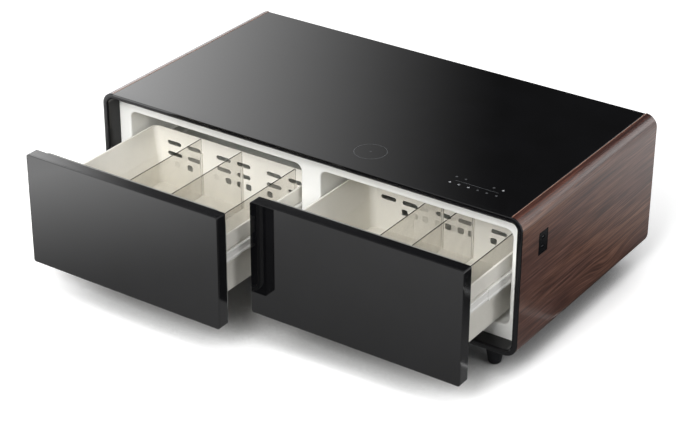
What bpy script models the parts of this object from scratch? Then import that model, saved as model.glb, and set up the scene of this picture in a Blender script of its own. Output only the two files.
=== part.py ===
"""Refrigerated coffee table with two cooled drawers, shown with both pulled out.

Lengths are metres. The front faces -Y, the floor is Z = 0 and the part's origin is the
middle of its box at floor level. The case is built back from its front plane, CASE_FRONT,
and up from its underside, CASE_BOTTOM.
"""

import math

import bmesh
import bpy
from mathutils import Matrix, Vector

# Driving dimensions of the case
CASE_WIDTH = 1.300
CASE_DEPTH = 0.714
CASE_HEIGHT = 0.385
CORNER_RADIUS = 0.034
FOOT_HEIGHT = 0.065
LEFT_PULLED_OUT = 0.338
RIGHT_PULLED_OUT = 0.220

# Clearances and drawing steps
SEAT_GAP = 0.0003
CUT_OVERRUN = 0.002
WELD_DISTANCE = 0.00001
CORNER_STEPS = 6
SMALL_ARC_STEPS = 3
SLOT_ARC_STEPS = 1
SLOT_CORNER_SHARE = 0.36
ROUND_STEPS = 24

# Case skins
SHELL_THICKNESS = 0.009
GLASS_THICKNESS = 0.006
GLASS_BACK_SETBACK = 0.003
GLASS_EDGE_BEVEL = 0.0008
DECK_THICKNESS = 0.008
PAN_SHEET = 0.0015
BACK_SETBACK = 0.012
BACK_SHEET = 0.0025
SERVICE_PANEL_WIDTH = 0.109

# Front frame and its recess
FRAME_BAND = 0.012
FRAME_LIP_DEPTH = 0.005
FRAME_OUTER_CHAMFER = 0.0012
FRAME_INNER_CHAMFER = 0.004

# Liner and foam
LINER_WALL = 0.0025
CAVITY_SIDE_LAND = 0.024
CAVITY_TOP_LAND = 0.065
CAVITY_BOTTOM = 0.053
CAVITY_CORNER = 0.020
FOAM_BACK_WALL = 0.034
MACHINE_BAY_DEPTH = 0.149

# Drawer fronts
PANEL_SIDE_GAP = 0.016
PANEL_TOP_GAP = 0.044
PANEL_BOTTOM = 0.026
PANEL_THICKNESS = 0.037
PANEL_GAP = 0.012
PANEL_CORNER = 0.006
PANEL_GLASS = 0.004
PANEL_GLASS_BEVEL = 0.0007
PANEL_BACK_CHAMFER = 0.004
GASKET_WIDTH = 0.014
GASKET_THICKNESS = 0.0127
GASKET_MARGIN = 0.003
GASKET_BEVEL = 0.002

# Drawer bins
BIN_SIDE_CLEARANCE = 0.008
BIN_BACK_CLEARANCE = 0.008
BIN_FLOOR_CLEARANCE = 0.022
BIN_HEADROOM = 0.070
BIN_WALL = 0.003
BIN_RIM_WIDTH = 0.006
BIN_REAR_RADIUS = 0.020
CHANNEL_DROP = 0.079
CHANNEL_HEIGHT = 0.036
CHANNEL_RECESS = 0.006
CHANNEL_LIP = 0.004
SKIRT_INSET = 0.015

# Vent slots and divider guides in the bins
SLOT_LENGTH = 0.045
SLOT_HEIGHT = 0.010
PORT_LENGTH = 0.018
PORT_HEIGHT = 0.013
SLOT_COLUMN_SHARES = (0.126, 0.247, 0.432, 0.555, 0.738, 0.863)
SLOT_ROW_SHARES = (0.766, 0.577)
PORT_COLUMN_SHARES = (0.218, 0.458, 0.528, 0.710)
PORT_ROW_SHARE = 0.411
DIVIDER_THICKNESS = 0.003
GUIDE_WIDTH = 0.002
GUIDE_DEPTH = 0.006
GUIDE_ROOT = 0.001
LEFT_DIVIDER_SHARES = (0.297, 0.547, 0.868)
RIGHT_DIVIDER_SHARES = (0.429, 0.598, 0.909)

# Drawer slides
SLIDE_SETBACK = 0.006
SLIDE_BACK_CLEARANCE = 0.0032
SLIDE_HEIGHT = 0.034
SLIDE_METAL = 0.0015
MIDDLE_SHARE = 0.5

# Feet
FOOT_TOP_RADIUS = 0.026
FOOT_BOTTOM_RADIUS = 0.0175
FOOT_COLLAR = 0.010
FOOT_ROUND = 0.0095
FOOT_INSET_X = 0.087
FOOT_INSET_Y = 0.052

# Controls under the glass
BOARD_THICKNESS = 0.0016
BOARD_SIDE_INSET = 0.185
BOARD_Y = 0.095
BOARD_WIDTH = 0.160
BOARD_DEPTH = 0.060
BOARD_RADIUS = 0.004
COIL_TO_BOARD = 0.319
COIL_Y = 0.107
COIL_OUTER_RADIUS = 0.044
COIL_INNER_RADIUS = 0.020
COIL_THICKNESS = 0.003

# Outlet in the right shell
OUTLET_Y = 0.110
OUTLET_DROP = 0.103
OUTLET_WIDTH = 0.045
OUTLET_HEIGHT = 0.062
OUTLET_CORNER = 0.003
OUTLET_PLATE = 0.003
OUTLET_RECESS = 0.0005
OUTLET_PORT_WIDTH = 0.014
OUTLET_PORT_HEIGHT = 0.007
OUTLET_PORT_PITCH = 0.026
OUTLET_MODULE_DEPTH = 0.0165
OUTLET_MODULE_MARGIN = 0.004
OUTLET_POCKET_MARGIN = 0.002

# Duct covers in front of the evaporator
COVER_TO_BACK = 0.044
COVER_THICKNESS = 0.003
COVER_SLOT_ROW_SHARES = (0.25, 0.42, 0.59, 0.76)
COVER_SLOT_COLUMN_SHARES = (0.16, 0.33, 0.50)
COVER_SLOT_LENGTH = 0.070
COVER_SLOT_HEIGHT = 0.008

# Evaporator and condenser, both blocks of upright fins
FIN_THICKNESS = 0.002
FIN_PITCH = 0.010
FIN_ROOT = 0.012
EVAPORATOR_WIDTH = 0.300
EVAPORATOR_DEPTH = 0.036
EVAPORATOR_INSET = 0.012
EVAPORATOR_FLOOR_GAP = 0.037
EVAPORATOR_HEADROOM = 0.070
CONDENSER_SIDE_INSET = 0.230
CONDENSER_WIDTH = 0.270
CONDENSER_DEPTH = 0.040
CONDENSER_HEIGHT = 0.190
CONDENSER_SETBACK = 0.008

# Fans
FAN_DEPTH = 0.025
FAN_WALL = 0.004
FAN_CORNER = 0.005
FAN_BLADES = 7
FAN_BLADE_THICKNESS = 0.0016
FAN_BLADE_TIP_GAP = 0.0025
FAN_HUB_SHARE = 0.38
FAN_AXLE_RADIUS = 0.004
FAN_ARM_WIDTH = 0.006
FAN_ARM_DEPTH = 0.003
FAN_BLADE_DEPTH_SHARE = 0.8
FAN_CHORD_SHARE = 0.62
CONDENSER_FAN_SIZE = 0.120
EVAPORATOR_FAN_SIZE = 0.092
EVAPORATOR_FAN_INSET = 0.090

# Compressor in the machine bay
COMPRESSOR_SIDE_INSET = 0.230
COMPRESSOR_TO_FOAM = 0.069
COMPRESSOR_RADIUS = 0.055
COMPRESSOR_HEIGHT = 0.145
COMPRESSOR_DOME = 0.028
COMPRESSOR_SEAM = 0.003
COMPRESSOR_SEAM_HEIGHT = 0.004
COMPRESSOR_SEAM_SHARE = 0.62
GROMMET_RADIUS = 0.011
GROMMET_HEIGHT = 0.014
CUSHION_WEB = 0.003
MOUNT_PLATE_THICKNESS = 0.003
MOUNT_PLATE_WIDTH = 0.150
MOUNT_PLATE_DEPTH = 0.100
MOUNT_HOLE_INSET = 0.014
RELAY_WIDTH = 0.030
RELAY_DEPTH = 0.044
RELAY_HEIGHT = 0.060
RELAY_LIFT = 0.045
PIPE_RADIUS = 0.004
PIPE_BEND_RADIUS = 0.012
STUB_HEIGHT = 0.020

# Other pieces in the machine bay
SUPPLY_TO_COMPRESSOR = 0.010
SUPPLY_WIDTH = 0.140
SUPPLY_DEPTH = 0.080
SUPPLY_HEIGHT = 0.050
SUPPLY_BEVEL = 0.003
TRAY_TO_CONDENSER = 0.010
TRAY_WIDTH = 0.240
TRAY_DEPTH = 0.090
TRAY_HEIGHT = 0.028
TRAY_WALL = 0.002
INLET_SIDE_INSET = 0.090
INLET_Z = 0.070
INLET_WIDTH = 0.028
INLET_HEIGHT = 0.022
INLET_DEPTH = 0.026
INLET_FLANGE = 0.004
INLET_WALL = 0.003
INLET_PIN_WIDTH = 0.002
INLET_PIN_HEIGHT = 0.004
INLET_PIN_LENGTH = 0.014
INLET_PIN_SHARES = (-0.3, 0, 0.3)
LOUVRE_LENGTH = 0.060
LOUVRE_HEIGHT = 0.006
LOUVRE_ROWS = 7
LOUVRE_COLUMNS = 3
LOUVRE_PITCH_X = 0.076
LOUVRE_PITCH_Z = 0.018
AXLE_SIDES = 12

# Worked out from the sizes above
HALF_WIDTH = CASE_WIDTH / 2
CASE_FRONT = (LEFT_PULLED_OUT - CASE_DEPTH) / 2
CASE_BOTTOM = FOOT_HEIGHT
CASE_TOP = CASE_BOTTOM + CASE_HEIGHT
SKIN_INSET = SHELL_THICKNESS + SEAT_GAP
RECESS_DEPTH = PANEL_THICKNESS + GASKET_THICKNESS + SEAT_GAP
PANEL_WIDTH = HALF_WIDTH - FRAME_BAND - PANEL_SIDE_GAP - PANEL_GAP / 2
PANEL_HEIGHT = CASE_HEIGHT - PANEL_BOTTOM - PANEL_TOP_GAP
FOAM_BACK = CASE_DEPTH - MACHINE_BAY_DEPTH
CAVITY_BACK = FOAM_BACK - FOAM_BACK_WALL
CAVITY_WIDTH = PANEL_WIDTH - 2 * CAVITY_SIDE_LAND
CAVITY_HEIGHT = CASE_HEIGHT - CAVITY_BOTTOM - CAVITY_TOP_LAND
COVER_Y = CAVITY_BACK - COVER_TO_BACK
GLASS_HALF = HALF_WIDTH - CORNER_RADIUS - SEAT_GAP
DECK_TOP = CASE_TOP - GLASS_THICKNESS - SEAT_GAP
DECK_BOTTOM = DECK_TOP - DECK_THICKNESS
FLANGE_BACK = RECESS_DEPTH + SEAT_GAP + LINER_WALL
PAN_RIM_TOP = CASE_BOTTOM + SHELL_THICKNESS
PAN_FLOOR = CASE_BOTTOM + PAN_SHEET
BACK_PANEL_FRONT = CASE_DEPTH - BACK_SETBACK
CORE_BOTTOM = CASE_BOTTOM + SKIN_INSET
CORE_TOP = DECK_BOTTOM - SEAT_GAP
CORE_HALF = HALF_WIDTH - SKIN_INSET
DRAWER_CENTRE = (PANEL_GAP + PANEL_WIDTH) / 2
BIN_WIDTH = CAVITY_WIDTH - 2 * BIN_SIDE_CLEARANCE
BIN_LENGTH = COVER_Y - BIN_BACK_CLEARANCE - PANEL_THICKNESS - SEAT_GAP
BIN_BOTTOM = CAVITY_BOTTOM + BIN_FLOOR_CLEARANCE
BIN_HEIGHT = CAVITY_HEIGHT - BIN_FLOOR_CLEARANCE - BIN_HEADROOM
CHANNEL_BOTTOM = BIN_BOTTOM + BIN_HEIGHT - CHANNEL_DROP
BIN_HALF = BIN_WIDTH / 2
CHANNEL_HALF = BIN_HALF - CHANNEL_RECESS
SKIRT_HALF = BIN_HALF - SKIRT_INSET
CHANNEL_TOP = CHANNEL_BOTTOM + CHANNEL_HEIGHT
SLIDE_MIDDLE_Z = CASE_BOTTOM + CHANNEL_BOTTOM + CHANNEL_HEIGHT / 2
SLIDE_START = FLANGE_BACK + SLIDE_SETBACK
SLIDE_LENGTH = COVER_Y - SLIDE_START - SLIDE_BACK_CLEARANCE
SLIDE_SPACE = CAVITY_WIDTH / 2 - CHANNEL_HALF
BOARD_X = HALF_WIDTH - BOARD_SIDE_INSET
COIL_X = BOARD_X - COIL_TO_BOARD
OUTLET_Z = CASE_HEIGHT - OUTLET_DROP
EVAPORATOR_BOTTOM = CAVITY_BOTTOM + EVAPORATOR_FLOOR_GAP
EVAPORATOR_HEIGHT = CAVITY_HEIGHT - EVAPORATOR_FLOOR_GAP - EVAPORATOR_HEADROOM
MACHINE_BAY_START = FOAM_BACK + CONDENSER_SETBACK
CONDENSER_X = CONDENSER_SIDE_INSET - HALF_WIDTH
COMPRESSOR_X = HALF_WIDTH - COMPRESSOR_SIDE_INSET
COMPRESSOR_Y = FOAM_BACK + COMPRESSOR_TO_FOAM
INLET_X = HALF_WIDTH - INLET_SIDE_INSET
SUPPLY_RIGHT = COMPRESSOR_X - MOUNT_PLATE_WIDTH / 2 - SUPPLY_TO_COMPRESSOR
TRAY_LEFT = CONDENSER_X + CONDENSER_WIDTH / 2 + TRAY_TO_CONDENSER

# Colours as sRGB hex, roughness and metallic value
FINISHES = {
    "walnut": ("5F4B46", 0.42, 0.0),
    "black_glass": ("0B0B0C", 0.04, 0.0),
    "black_plastic": ("191919", 0.30, 0.0),
    "white_plastic": ("F4F4EF", 0.40, 0.0),
    "warm_white": ("E6E2D6", 0.45, 0.0),
    "clear_plastic": ("C8C8C4", 0.06, 0.0),
    "grey_rubber": ("8C8C8A", 0.80, 0.0),
    "black_rubber": ("111114", 0.70, 0.0),
    "foam": ("E9DFAE", 0.90, 0.0),
    "zinc_steel": ("A9ADB0", 0.35, 1.0),
    "painted_steel": ("F0F0EC", 0.35, 0.2),
    "black_steel": ("17181A", 0.45, 0.3),
    "aluminium": ("C4C8CA", 0.35, 1.0),
    "copper": ("B87350", 0.30, 1.0),
    "board_green": ("1F5A36", 0.50, 0.0),
    "board_wood": ("8A7458", 0.75, 0.0),
}


# Scene, collections and materials

def clear_scene():
    """Removes every object that the file starts with."""
    for existing in list(bpy.data.objects):
        bpy.data.objects.remove(existing, do_unlink=True)


def new_collection(name):
    """Adds a collection to the scene and returns it."""
    made = bpy.data.collections.new(name)
    bpy.context.scene.collection.children.link(made)
    return made


def linear(channel):
    """Turns one sRGB channel between 0 and 1 into linear light."""
    if channel <= 0.04045:
        return channel / 12.92
    return ((channel + 0.055) / 1.055) ** 2.4


def make_material(node_name, finish):
    """Makes the Principled material of one sub-part."""
    hex_colour, roughness, metallic = FINISHES[finish]
    channels = [int(hex_colour[i:i + 2], 16) / 255 for i in (0, 2, 4)]
    made = bpy.data.materials.new(node_name + "_" + finish)
    made.use_nodes = True
    shader = made.node_tree.nodes["Principled BSDF"]
    shader.inputs["Base Color"].default_value = [linear(c) for c in channels] + [1.0]
    shader.inputs["Roughness"].default_value = roughness
    shader.inputs["Metallic"].default_value = metallic
    return made


clear_scene()
PARTS = new_collection("refrigerator_coffee_table")
CUTTERS = new_collection("cutters")


def finish_part(part, finish, parent=None):
    """Puts a sub-part in the table's collection with its material and parent."""
    PARTS.objects.link(part)
    part.data.materials.clear()
    part.data.materials.append(make_material(part.name, finish))
    if parent is not None:
        part.parent = parent
        part.matrix_parent_inverse = Matrix.Translation(parent.location).inverted()
    return part


def make_empty(name, place):
    """Adds an empty on a joint's axis, for the pieces that it moves."""
    made = bpy.data.objects.new(name, None)
    made.location = place
    PARTS.objects.link(made)
    return made


# Outlines

def arc(centre_u, centre_v, radius, start, end, steps):
    """Points along an arc, both ends included; angles in radians."""
    points = []
    for i in range(steps + 1):
        angle = start + (end - start) * i / steps
        points.append((centre_u + radius * math.cos(angle), centre_v + radius * math.sin(angle)))
    return points


def rounded_rect(low, high, radius, steps=CORNER_STEPS):
    """Outline of a rectangle between two corners, with round corners."""
    quarter = math.pi / 2
    centres = ((high[0] - radius, high[1] - radius), (low[0] + radius, high[1] - radius),
               (low[0] + radius, low[1] + radius), (high[0] - radius, low[1] + radius))
    points = []
    for i, (u, v) in enumerate(centres):
        points += arc(u, v, radius, i * quarter, (i + 1) * quarter, steps)
    return points


def centred_slot(u, v, length, height):
    """Outline of a slot with rounded corners, centred on a point."""
    low = (u - length / 2, v - height / 2)
    high = (u + length / 2, v + height / 2)
    return rounded_rect(low, high, height * SLOT_CORNER_SHARE, SLOT_ARC_STEPS)


def rectangle(low, high):
    """Outline of a rectangle between two corners."""
    return [low, (high[0], low[1]), high, (low[0], high[1])]


def circle(u, v, radius, steps=ROUND_STEPS):
    """Outline of a circle, without its closing point."""
    return arc(u, v, radius, 0, 2 * math.pi, steps)[:-1]


# Solids

AXIS_TURNS = {
    "X": Matrix(((0, 0, 1), (1, 0, 0), (0, 1, 0))).to_4x4(),
    "Y": Matrix(((1, 0, 0), (0, 0, -1), (0, 1, 0))).to_4x4(),
    "Z": Matrix.Identity(4),
}


def tidy_mesh(mesh):
    """Welds a mesh and points its faces out."""
    work = bmesh.new()
    work.from_mesh(mesh)
    bmesh.ops.remove_doubles(work, verts=work.verts, dist=WELD_DISTANCE)
    bmesh.ops.recalc_face_normals(work, faces=work.faces)
    work.to_mesh(mesh)
    work.free()


def mesh_from_curve(curve_object):
    """Replaces a curve object with a welded mesh object of the same name and place."""
    depsgraph = bpy.context.evaluated_depsgraph_get()
    mesh = bpy.data.meshes.new_from_object(curve_object.evaluated_get(depsgraph))
    name = curve_object.name
    place = curve_object.matrix_world.copy()
    bpy.data.objects.remove(curve_object, do_unlink=True)
    tidy_mesh(mesh)
    made = bpy.data.objects.new(name, mesh)
    made.matrix_world = place
    return made


def slab(name, outlines, axis, start, end):
    """Extrudes flat outlines along an axis, between two places on it.

    The outlines are (Y, Z) points for axis X, (X, Z) points for Y and (X, Y) points for Z.
    An outline inside another is a hole.
    """
    curve = bpy.data.curves.new(name, "CURVE")
    curve.dimensions = "2D"
    curve.fill_mode = "BOTH"
    curve.extrude = (end - start) / 2
    for outline in outlines:
        spline = curve.splines.new("POLY")
        spline.points.add(len(outline) - 1)
        for point, (u, v) in zip(spline.points, outline):
            point.co = (u, v, 0, 1)
        spline.use_cyclic_u = True
    holder = bpy.data.objects.new(name, curve)
    bpy.context.scene.collection.objects.link(holder)
    made = mesh_from_curve(holder)
    shift = Vector((0, 0, 0))
    shift["XYZ".index(axis)] = (start + end) / 2
    made.data.transform(Matrix.Translation(shift) @ AXIS_TURNS[axis])
    return made


def box(name, low, high):
    """A box between two corners."""
    work = bmesh.new()
    bmesh.ops.create_cube(work, size=1)
    middle = [(a + b) / 2 for a, b in zip(low, high)]
    sides = [b - a for a, b in zip(low, high)]
    bmesh.ops.transform(work, verts=work.verts,
                        matrix=Matrix.Translation(middle) @ Matrix.Diagonal((*sides, 1)))
    return object_from(work, name)


def cylinder(name, centre, radius, depth, axis="Z", steps=ROUND_STEPS):
    """A cylinder centred on a point."""
    work = bmesh.new()
    bmesh.ops.create_cone(work, cap_ends=True, segments=steps, radius1=radius, radius2=radius,
                          depth=depth, matrix=Matrix.Translation(centre) @ AXIS_TURNS[axis])
    return object_from(work, name)


def object_from(work, name):
    """Turns a bmesh into an object and frees it."""
    mesh = bpy.data.meshes.new(name)
    bmesh.ops.recalc_face_normals(work, faces=work.faces)
    work.to_mesh(mesh)
    work.free()
    return bpy.data.objects.new(name, mesh)


def ring_loft(name, rings):
    """Joins closed rings of points, each to the next and the last to the first."""
    work = bmesh.new()
    rows = [[work.verts.new(point) for point in ring] for ring in rings]
    for low, high in zip(rows, rows[1:] + rows[:1]):
        for i, corner in enumerate(low):
            k = (i + 1) % len(low)
            work.faces.new((corner, low[k], high[k], high[i]))
    return object_from(work, name)


def turned(name, profile, centre, steps=ROUND_STEPS):
    """Turns a profile of (radius, height) points, top to bottom, about a vertical axis."""
    mesh = bpy.data.meshes.new(name)
    points = [(radius, 0, height) for radius, height in profile]
    mesh.from_pydata(points, [(i, i + 1) for i in range(len(points) - 1)], [])
    made = bpy.data.objects.new(name, mesh)
    made.location = centre
    screw = made.modifiers.new("turn", "SCREW")
    screw.steps = steps
    screw.render_steps = steps
    screw.use_merge_vertices = True
    screw.merge_threshold = WELD_DISTANCE
    return made


def tube(name, points, radius, bevel_resolution=2):
    """A round tube along a path, with filled ends."""
    curve = bpy.data.curves.new(name, "CURVE")
    curve.dimensions = "3D"
    curve.bevel_depth = radius
    curve.bevel_resolution = bevel_resolution
    curve.use_fill_caps = True
    spline = curve.splines.new("POLY")
    spline.points.add(len(points) - 1)
    for point, place in zip(spline.points, points):
        point.co = (*place, 1)
    holder = bpy.data.objects.new(name, curve)
    bpy.context.scene.collection.objects.link(holder)
    return mesh_from_curve(holder)


def join(name, pieces):
    """Joins loose solids into one object, each kept as its own closed body."""
    work = bmesh.new()
    for piece in pieces:
        piece.data.transform(piece.matrix_world)
        work.from_mesh(piece.data)
        bpy.data.objects.remove(piece, do_unlink=True)
    return object_from(work, name)


def combine(part, tool, operation):
    """Adds a Boolean of the part with a tool, which moves to the cutters."""
    CUTTERS.objects.link(tool)
    tool.hide_render = True
    tool.display_type = "WIRE"
    step = part.modifiers.new(operation.lower(), "BOOLEAN")
    step.operation = operation
    step.solver = "EXACT"
    step.object = tool
    return part


def bevel(part, width, segments=1):
    """Bevels every sharp edge of a part."""
    step = part.modifiers.new("bevel", "BEVEL")
    step.width = width
    step.segments = segments
    step.limit_method = "ANGLE"
    return part


def chamfer_at(part, axis, place, width):
    """Chamfers the edges of a slab that lie in one plane."""
    index = "XYZ".index(axis)
    work = bmesh.new()
    work.from_mesh(part.data)
    edges = [edge for edge in work.edges
             if all(abs(vert.co[index] - place) < WELD_DISTANCE for vert in edge.verts)
             and edge.calc_face_angle(0) > math.radians(45)]
    bmesh.ops.bevel(work, geom=edges, offset=width, segments=1, affect="EDGES")
    work.to_mesh(part.data)
    work.free()
    return part


def smooth(part, angle_deg=35):
    """Shades a round part smooth, with its corners sharp."""
    part.data.shade_smooth()
    part.data.set_sharp_from_angle(angle=math.radians(angle_deg))
    return part


def case_y(depth):
    """World Y of a depth behind the case's front plane."""
    return CASE_FRONT + depth


def case_z(height):
    """World Z of a height above the case's underside."""
    return CASE_BOTTOM + height


# Case outlines

def case_outline(inset, top=None):
    """The case's round-cornered section, drawn in by an inset, perhaps with a lower top."""
    high_z = CASE_TOP - inset if top is None else top
    low = (-HALF_WIDTH + inset, CASE_BOTTOM + inset)
    return rounded_rect(low, (HALF_WIDTH - inset, high_z), CORNER_RADIUS - inset)


def cavity_outline(side, grow):
    """One compartment's section, grown by an amount all round; side is -1 or 1."""
    centre = side * DRAWER_CENTRE
    half = CAVITY_WIDTH / 2 + grow
    low = (centre - half, case_z(CAVITY_BOTTOM) - grow)
    high = (centre + half, case_z(CAVITY_BOTTOM + CAVITY_HEIGHT) + grow)
    return rounded_rect(low, high, CAVITY_CORNER + grow)


# Case pieces

def side_shell(side):
    """A bent shell that wraps one side, from the glass's edge round to the base pan."""
    quarter = math.pi / 2
    bend = HALF_WIDTH - CORNER_RADIUS
    inner = CORNER_RADIUS - SHELL_THICKNESS
    high, low = CASE_TOP - CORNER_RADIUS, CASE_BOTTOM + CORNER_RADIUS
    outline = arc(bend, high, CORNER_RADIUS, quarter, 0, CORNER_STEPS)
    outline += arc(bend, low, CORNER_RADIUS, 0, -quarter, CORNER_STEPS)
    outline += arc(bend, low, inner, -quarter, 0, CORNER_STEPS)
    outline += arc(bend, high, inner, 0, quarter, CORNER_STEPS)
    outline = [(side * u, v) for u, v in outline]
    name = "side_shell_right" if side > 0 else "side_shell_left"
    shell = slab(name, [outline], "Y", case_y(FRAME_LIP_DEPTH + SEAT_GAP), case_y(CASE_DEPTH))
    if side > 0:
        combine(shell, outlet_block("outlet_hole", SEAT_GAP, CORE_HALF - CUT_OVERRUN,
                                    HALF_WIDTH + CUT_OVERRUN), "DIFFERENCE")
    return finish_part(smooth(shell), "walnut")


def outlet_block(name, grow, start, end):
    """A block of the outlet plate's outline, grown all round, between two places on X."""
    half_w = OUTLET_WIDTH / 2 + grow
    half_h = OUTLET_HEIGHT / 2 + grow
    y, z = case_y(OUTLET_Y), case_z(OUTLET_Z)
    outline = rounded_rect((y - half_w, z - half_h), (y + half_w, z + half_h),
                           OUTLET_CORNER + grow, SMALL_ARC_STEPS)
    return slab(name, [outline], "X", start, end)


def top_glass():
    """The glass top, which ends where the shells begin to bend."""
    low = (-GLASS_HALF, CASE_FRONT, CASE_TOP - GLASS_THICKNESS)
    high = (GLASS_HALF, case_y(CASE_DEPTH - GLASS_BACK_SETBACK), CASE_TOP)
    return finish_part(bevel(box("top_glass", low, high), GLASS_EDGE_BEVEL, 2), "black_glass")


def top_deck():
    """The board that carries the glass, with pockets for the touch board and the coil."""
    low = (-GLASS_HALF, case_y(FLANGE_BACK + SEAT_GAP), DECK_BOTTOM)
    high = (GLASS_HALF, case_y(BACK_PANEL_FRONT + BACK_SHEET), DECK_TOP)
    deck = box("top_deck", low, high)
    pocket_top = DECK_TOP + CUT_OVERRUN
    board_floor = DECK_TOP - BOARD_THICKNESS - SEAT_GAP
    outline = board_outline(SEAT_GAP)
    combine(deck, slab("board_pocket", [outline], "Z", board_floor, pocket_top), "DIFFERENCE")
    coil_floor = DECK_TOP - COIL_THICKNESS - SEAT_GAP
    ring = circle(COIL_X, case_y(COIL_Y), COIL_OUTER_RADIUS + SEAT_GAP)
    combine(deck, slab("coil_pocket", [ring], "Z", coil_floor, pocket_top), "DIFFERENCE")
    return finish_part(deck, "board_wood")


def board_outline(grow):
    """The touch board's outline, grown all round."""
    half_w = BOARD_WIDTH / 2 + grow
    half_d = BOARD_DEPTH / 2 + grow
    y = case_y(BOARD_Y)
    return rounded_rect((BOARD_X - half_w, y - half_d), (BOARD_X + half_w, y + half_d),
                        BOARD_RADIUS + grow, SMALL_ARC_STEPS)


def control_board():
    """The capacitive touch board under the glass."""
    top = DECK_TOP
    board = slab("control_board", [board_outline(0)], "Z", top - BOARD_THICKNESS, top)
    return finish_part(board, "board_green")


def charging_coil():
    """The flat charging coil under the ring on the glass."""
    y = case_y(COIL_Y)
    rings = [circle(COIL_X, y, COIL_OUTER_RADIUS), circle(COIL_X, y, COIL_INNER_RADIUS)]
    coil = slab("charging_coil", rings, "Z", DECK_TOP - COIL_THICKNESS, DECK_TOP)
    return finish_part(smooth(coil), "copper")


def front_frame():
    """The black frame: a band round the front and a sleeve that lines the recess."""
    profile = ((FRAME_OUTER_CHAMFER, 0), (0, FRAME_OUTER_CHAMFER), (0, FRAME_LIP_DEPTH),
               (SKIN_INSET, FRAME_LIP_DEPTH), (SKIN_INSET, RECESS_DEPTH),
               (FRAME_BAND, RECESS_DEPTH), (FRAME_BAND, FRAME_INNER_CHAMFER),
               (FRAME_BAND - FRAME_INNER_CHAMFER, 0))
    rings = [[(u, case_y(depth), v) for u, v in case_outline(inset)] for inset, depth in profile]
    band = ring_loft("front_frame", rings)
    wall_middle = (SKIN_INSET + FRAME_BAND) / 2
    glass_rest = box("frame_glass_rest",
                     (-GLASS_HALF, case_y(FRAME_LIP_DEPTH / 2), CASE_TOP - wall_middle),
                     (GLASS_HALF, case_y(RECESS_DEPTH - SEAT_GAP), CASE_TOP - SEAT_GAP))
    combine(band, glass_rest, "UNION")
    rebate = box("frame_glass_rebate",
                 (-GLASS_HALF - SEAT_GAP, CASE_FRONT - CUT_OVERRUN, DECK_TOP),
                 (GLASS_HALF + SEAT_GAP, case_y(RECESS_DEPTH + CUT_OVERRUN),
                  CASE_TOP + CUT_OVERRUN))
    combine(band, rebate, "DIFFERENCE")
    return finish_part(band, "black_plastic")


def inner_liner():
    """The white moulded liner: a flange behind the recess and two deep compartments."""
    start = case_y(RECESS_DEPTH + SEAT_GAP)
    liner = slab("inner_liner", [case_outline(SKIN_INSET)], "Y", start, case_y(FLANGE_BACK))
    for side, word in ((-1, "left"), (1, "right")):
        tub = slab(word + "_tub", [cavity_outline(side, LINER_WALL)], "Y",
                   start + LINER_WALL / 2, case_y(CAVITY_BACK + LINER_WALL))
        combine(liner, tub, "UNION")
    for side, word in ((-1, "left"), (1, "right")):
        hollow = slab(word + "_cavity", [cavity_outline(side, 0)], "Y",
                      start - CUT_OVERRUN, case_y(CAVITY_BACK))
        combine(liner, hollow, "DIFFERENCE")
    return finish_part(liner, "white_plastic")


def foam_insulation():
    """The foam between the liner and the case, open where the compartments sit."""
    foam = slab("foam_insulation", [case_outline(SKIN_INSET, CORE_TOP)], "Y",
                case_y(FLANGE_BACK + SEAT_GAP), case_y(FOAM_BACK))
    for side, word in ((-1, "left"), (1, "right")):
        room = slab(word + "_foam_room", [cavity_outline(side, LINER_WALL + SEAT_GAP)], "Y",
                    case_y(FLANGE_BACK - CUT_OVERRUN),
                    case_y(CAVITY_BACK + LINER_WALL + SEAT_GAP))
        combine(foam, room, "DIFFERENCE")
    pocket = outlet_block("foam_outlet_pocket", OUTLET_POCKET_MARGIN,
                          HALF_WIDTH - OUTLET_PLATE - OUTLET_MODULE_DEPTH - OUTLET_POCKET_MARGIN,
                          HALF_WIDTH)
    combine(foam, pocket, "DIFFERENCE")
    return finish_part(foam, "foam")


def base_pan():
    """The steel pan between the shells, a shallow tray that the foam and bay stand in."""
    low = (-GLASS_HALF, case_y(FRAME_LIP_DEPTH + SEAT_GAP), CASE_BOTTOM)
    high = (GLASS_HALF, case_y(CASE_DEPTH), PAN_RIM_TOP)
    pan = box("base_pan", low, high)
    room = box("pan_room",
               (low[0] + PAN_SHEET, low[1] + PAN_SHEET, PAN_FLOOR),
               (high[0] - PAN_SHEET, high[1] - PAN_SHEET, PAN_RIM_TOP + CUT_OVERRUN))
    combine(pan, room, "DIFFERENCE")
    return finish_part(pan, "zinc_steel")


def louvres(centre_x, centre_z):
    """Outlines of one group of louvre slots in the back panel."""
    slots = []
    for row in range(LOUVRE_ROWS):
        for column in range(LOUVRE_COLUMNS):
            u = centre_x + (column - (LOUVRE_COLUMNS - 1) / 2) * LOUVRE_PITCH_X
            v = centre_z + (row - (LOUVRE_ROWS - 1) / 2) * LOUVRE_PITCH_Z
            slots.append(rectangle((u - LOUVRE_LENGTH / 2, v - LOUVRE_HEIGHT / 2),
                                   (u + LOUVRE_LENGTH / 2, v + LOUVRE_HEIGHT / 2)))
    return slots


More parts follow.
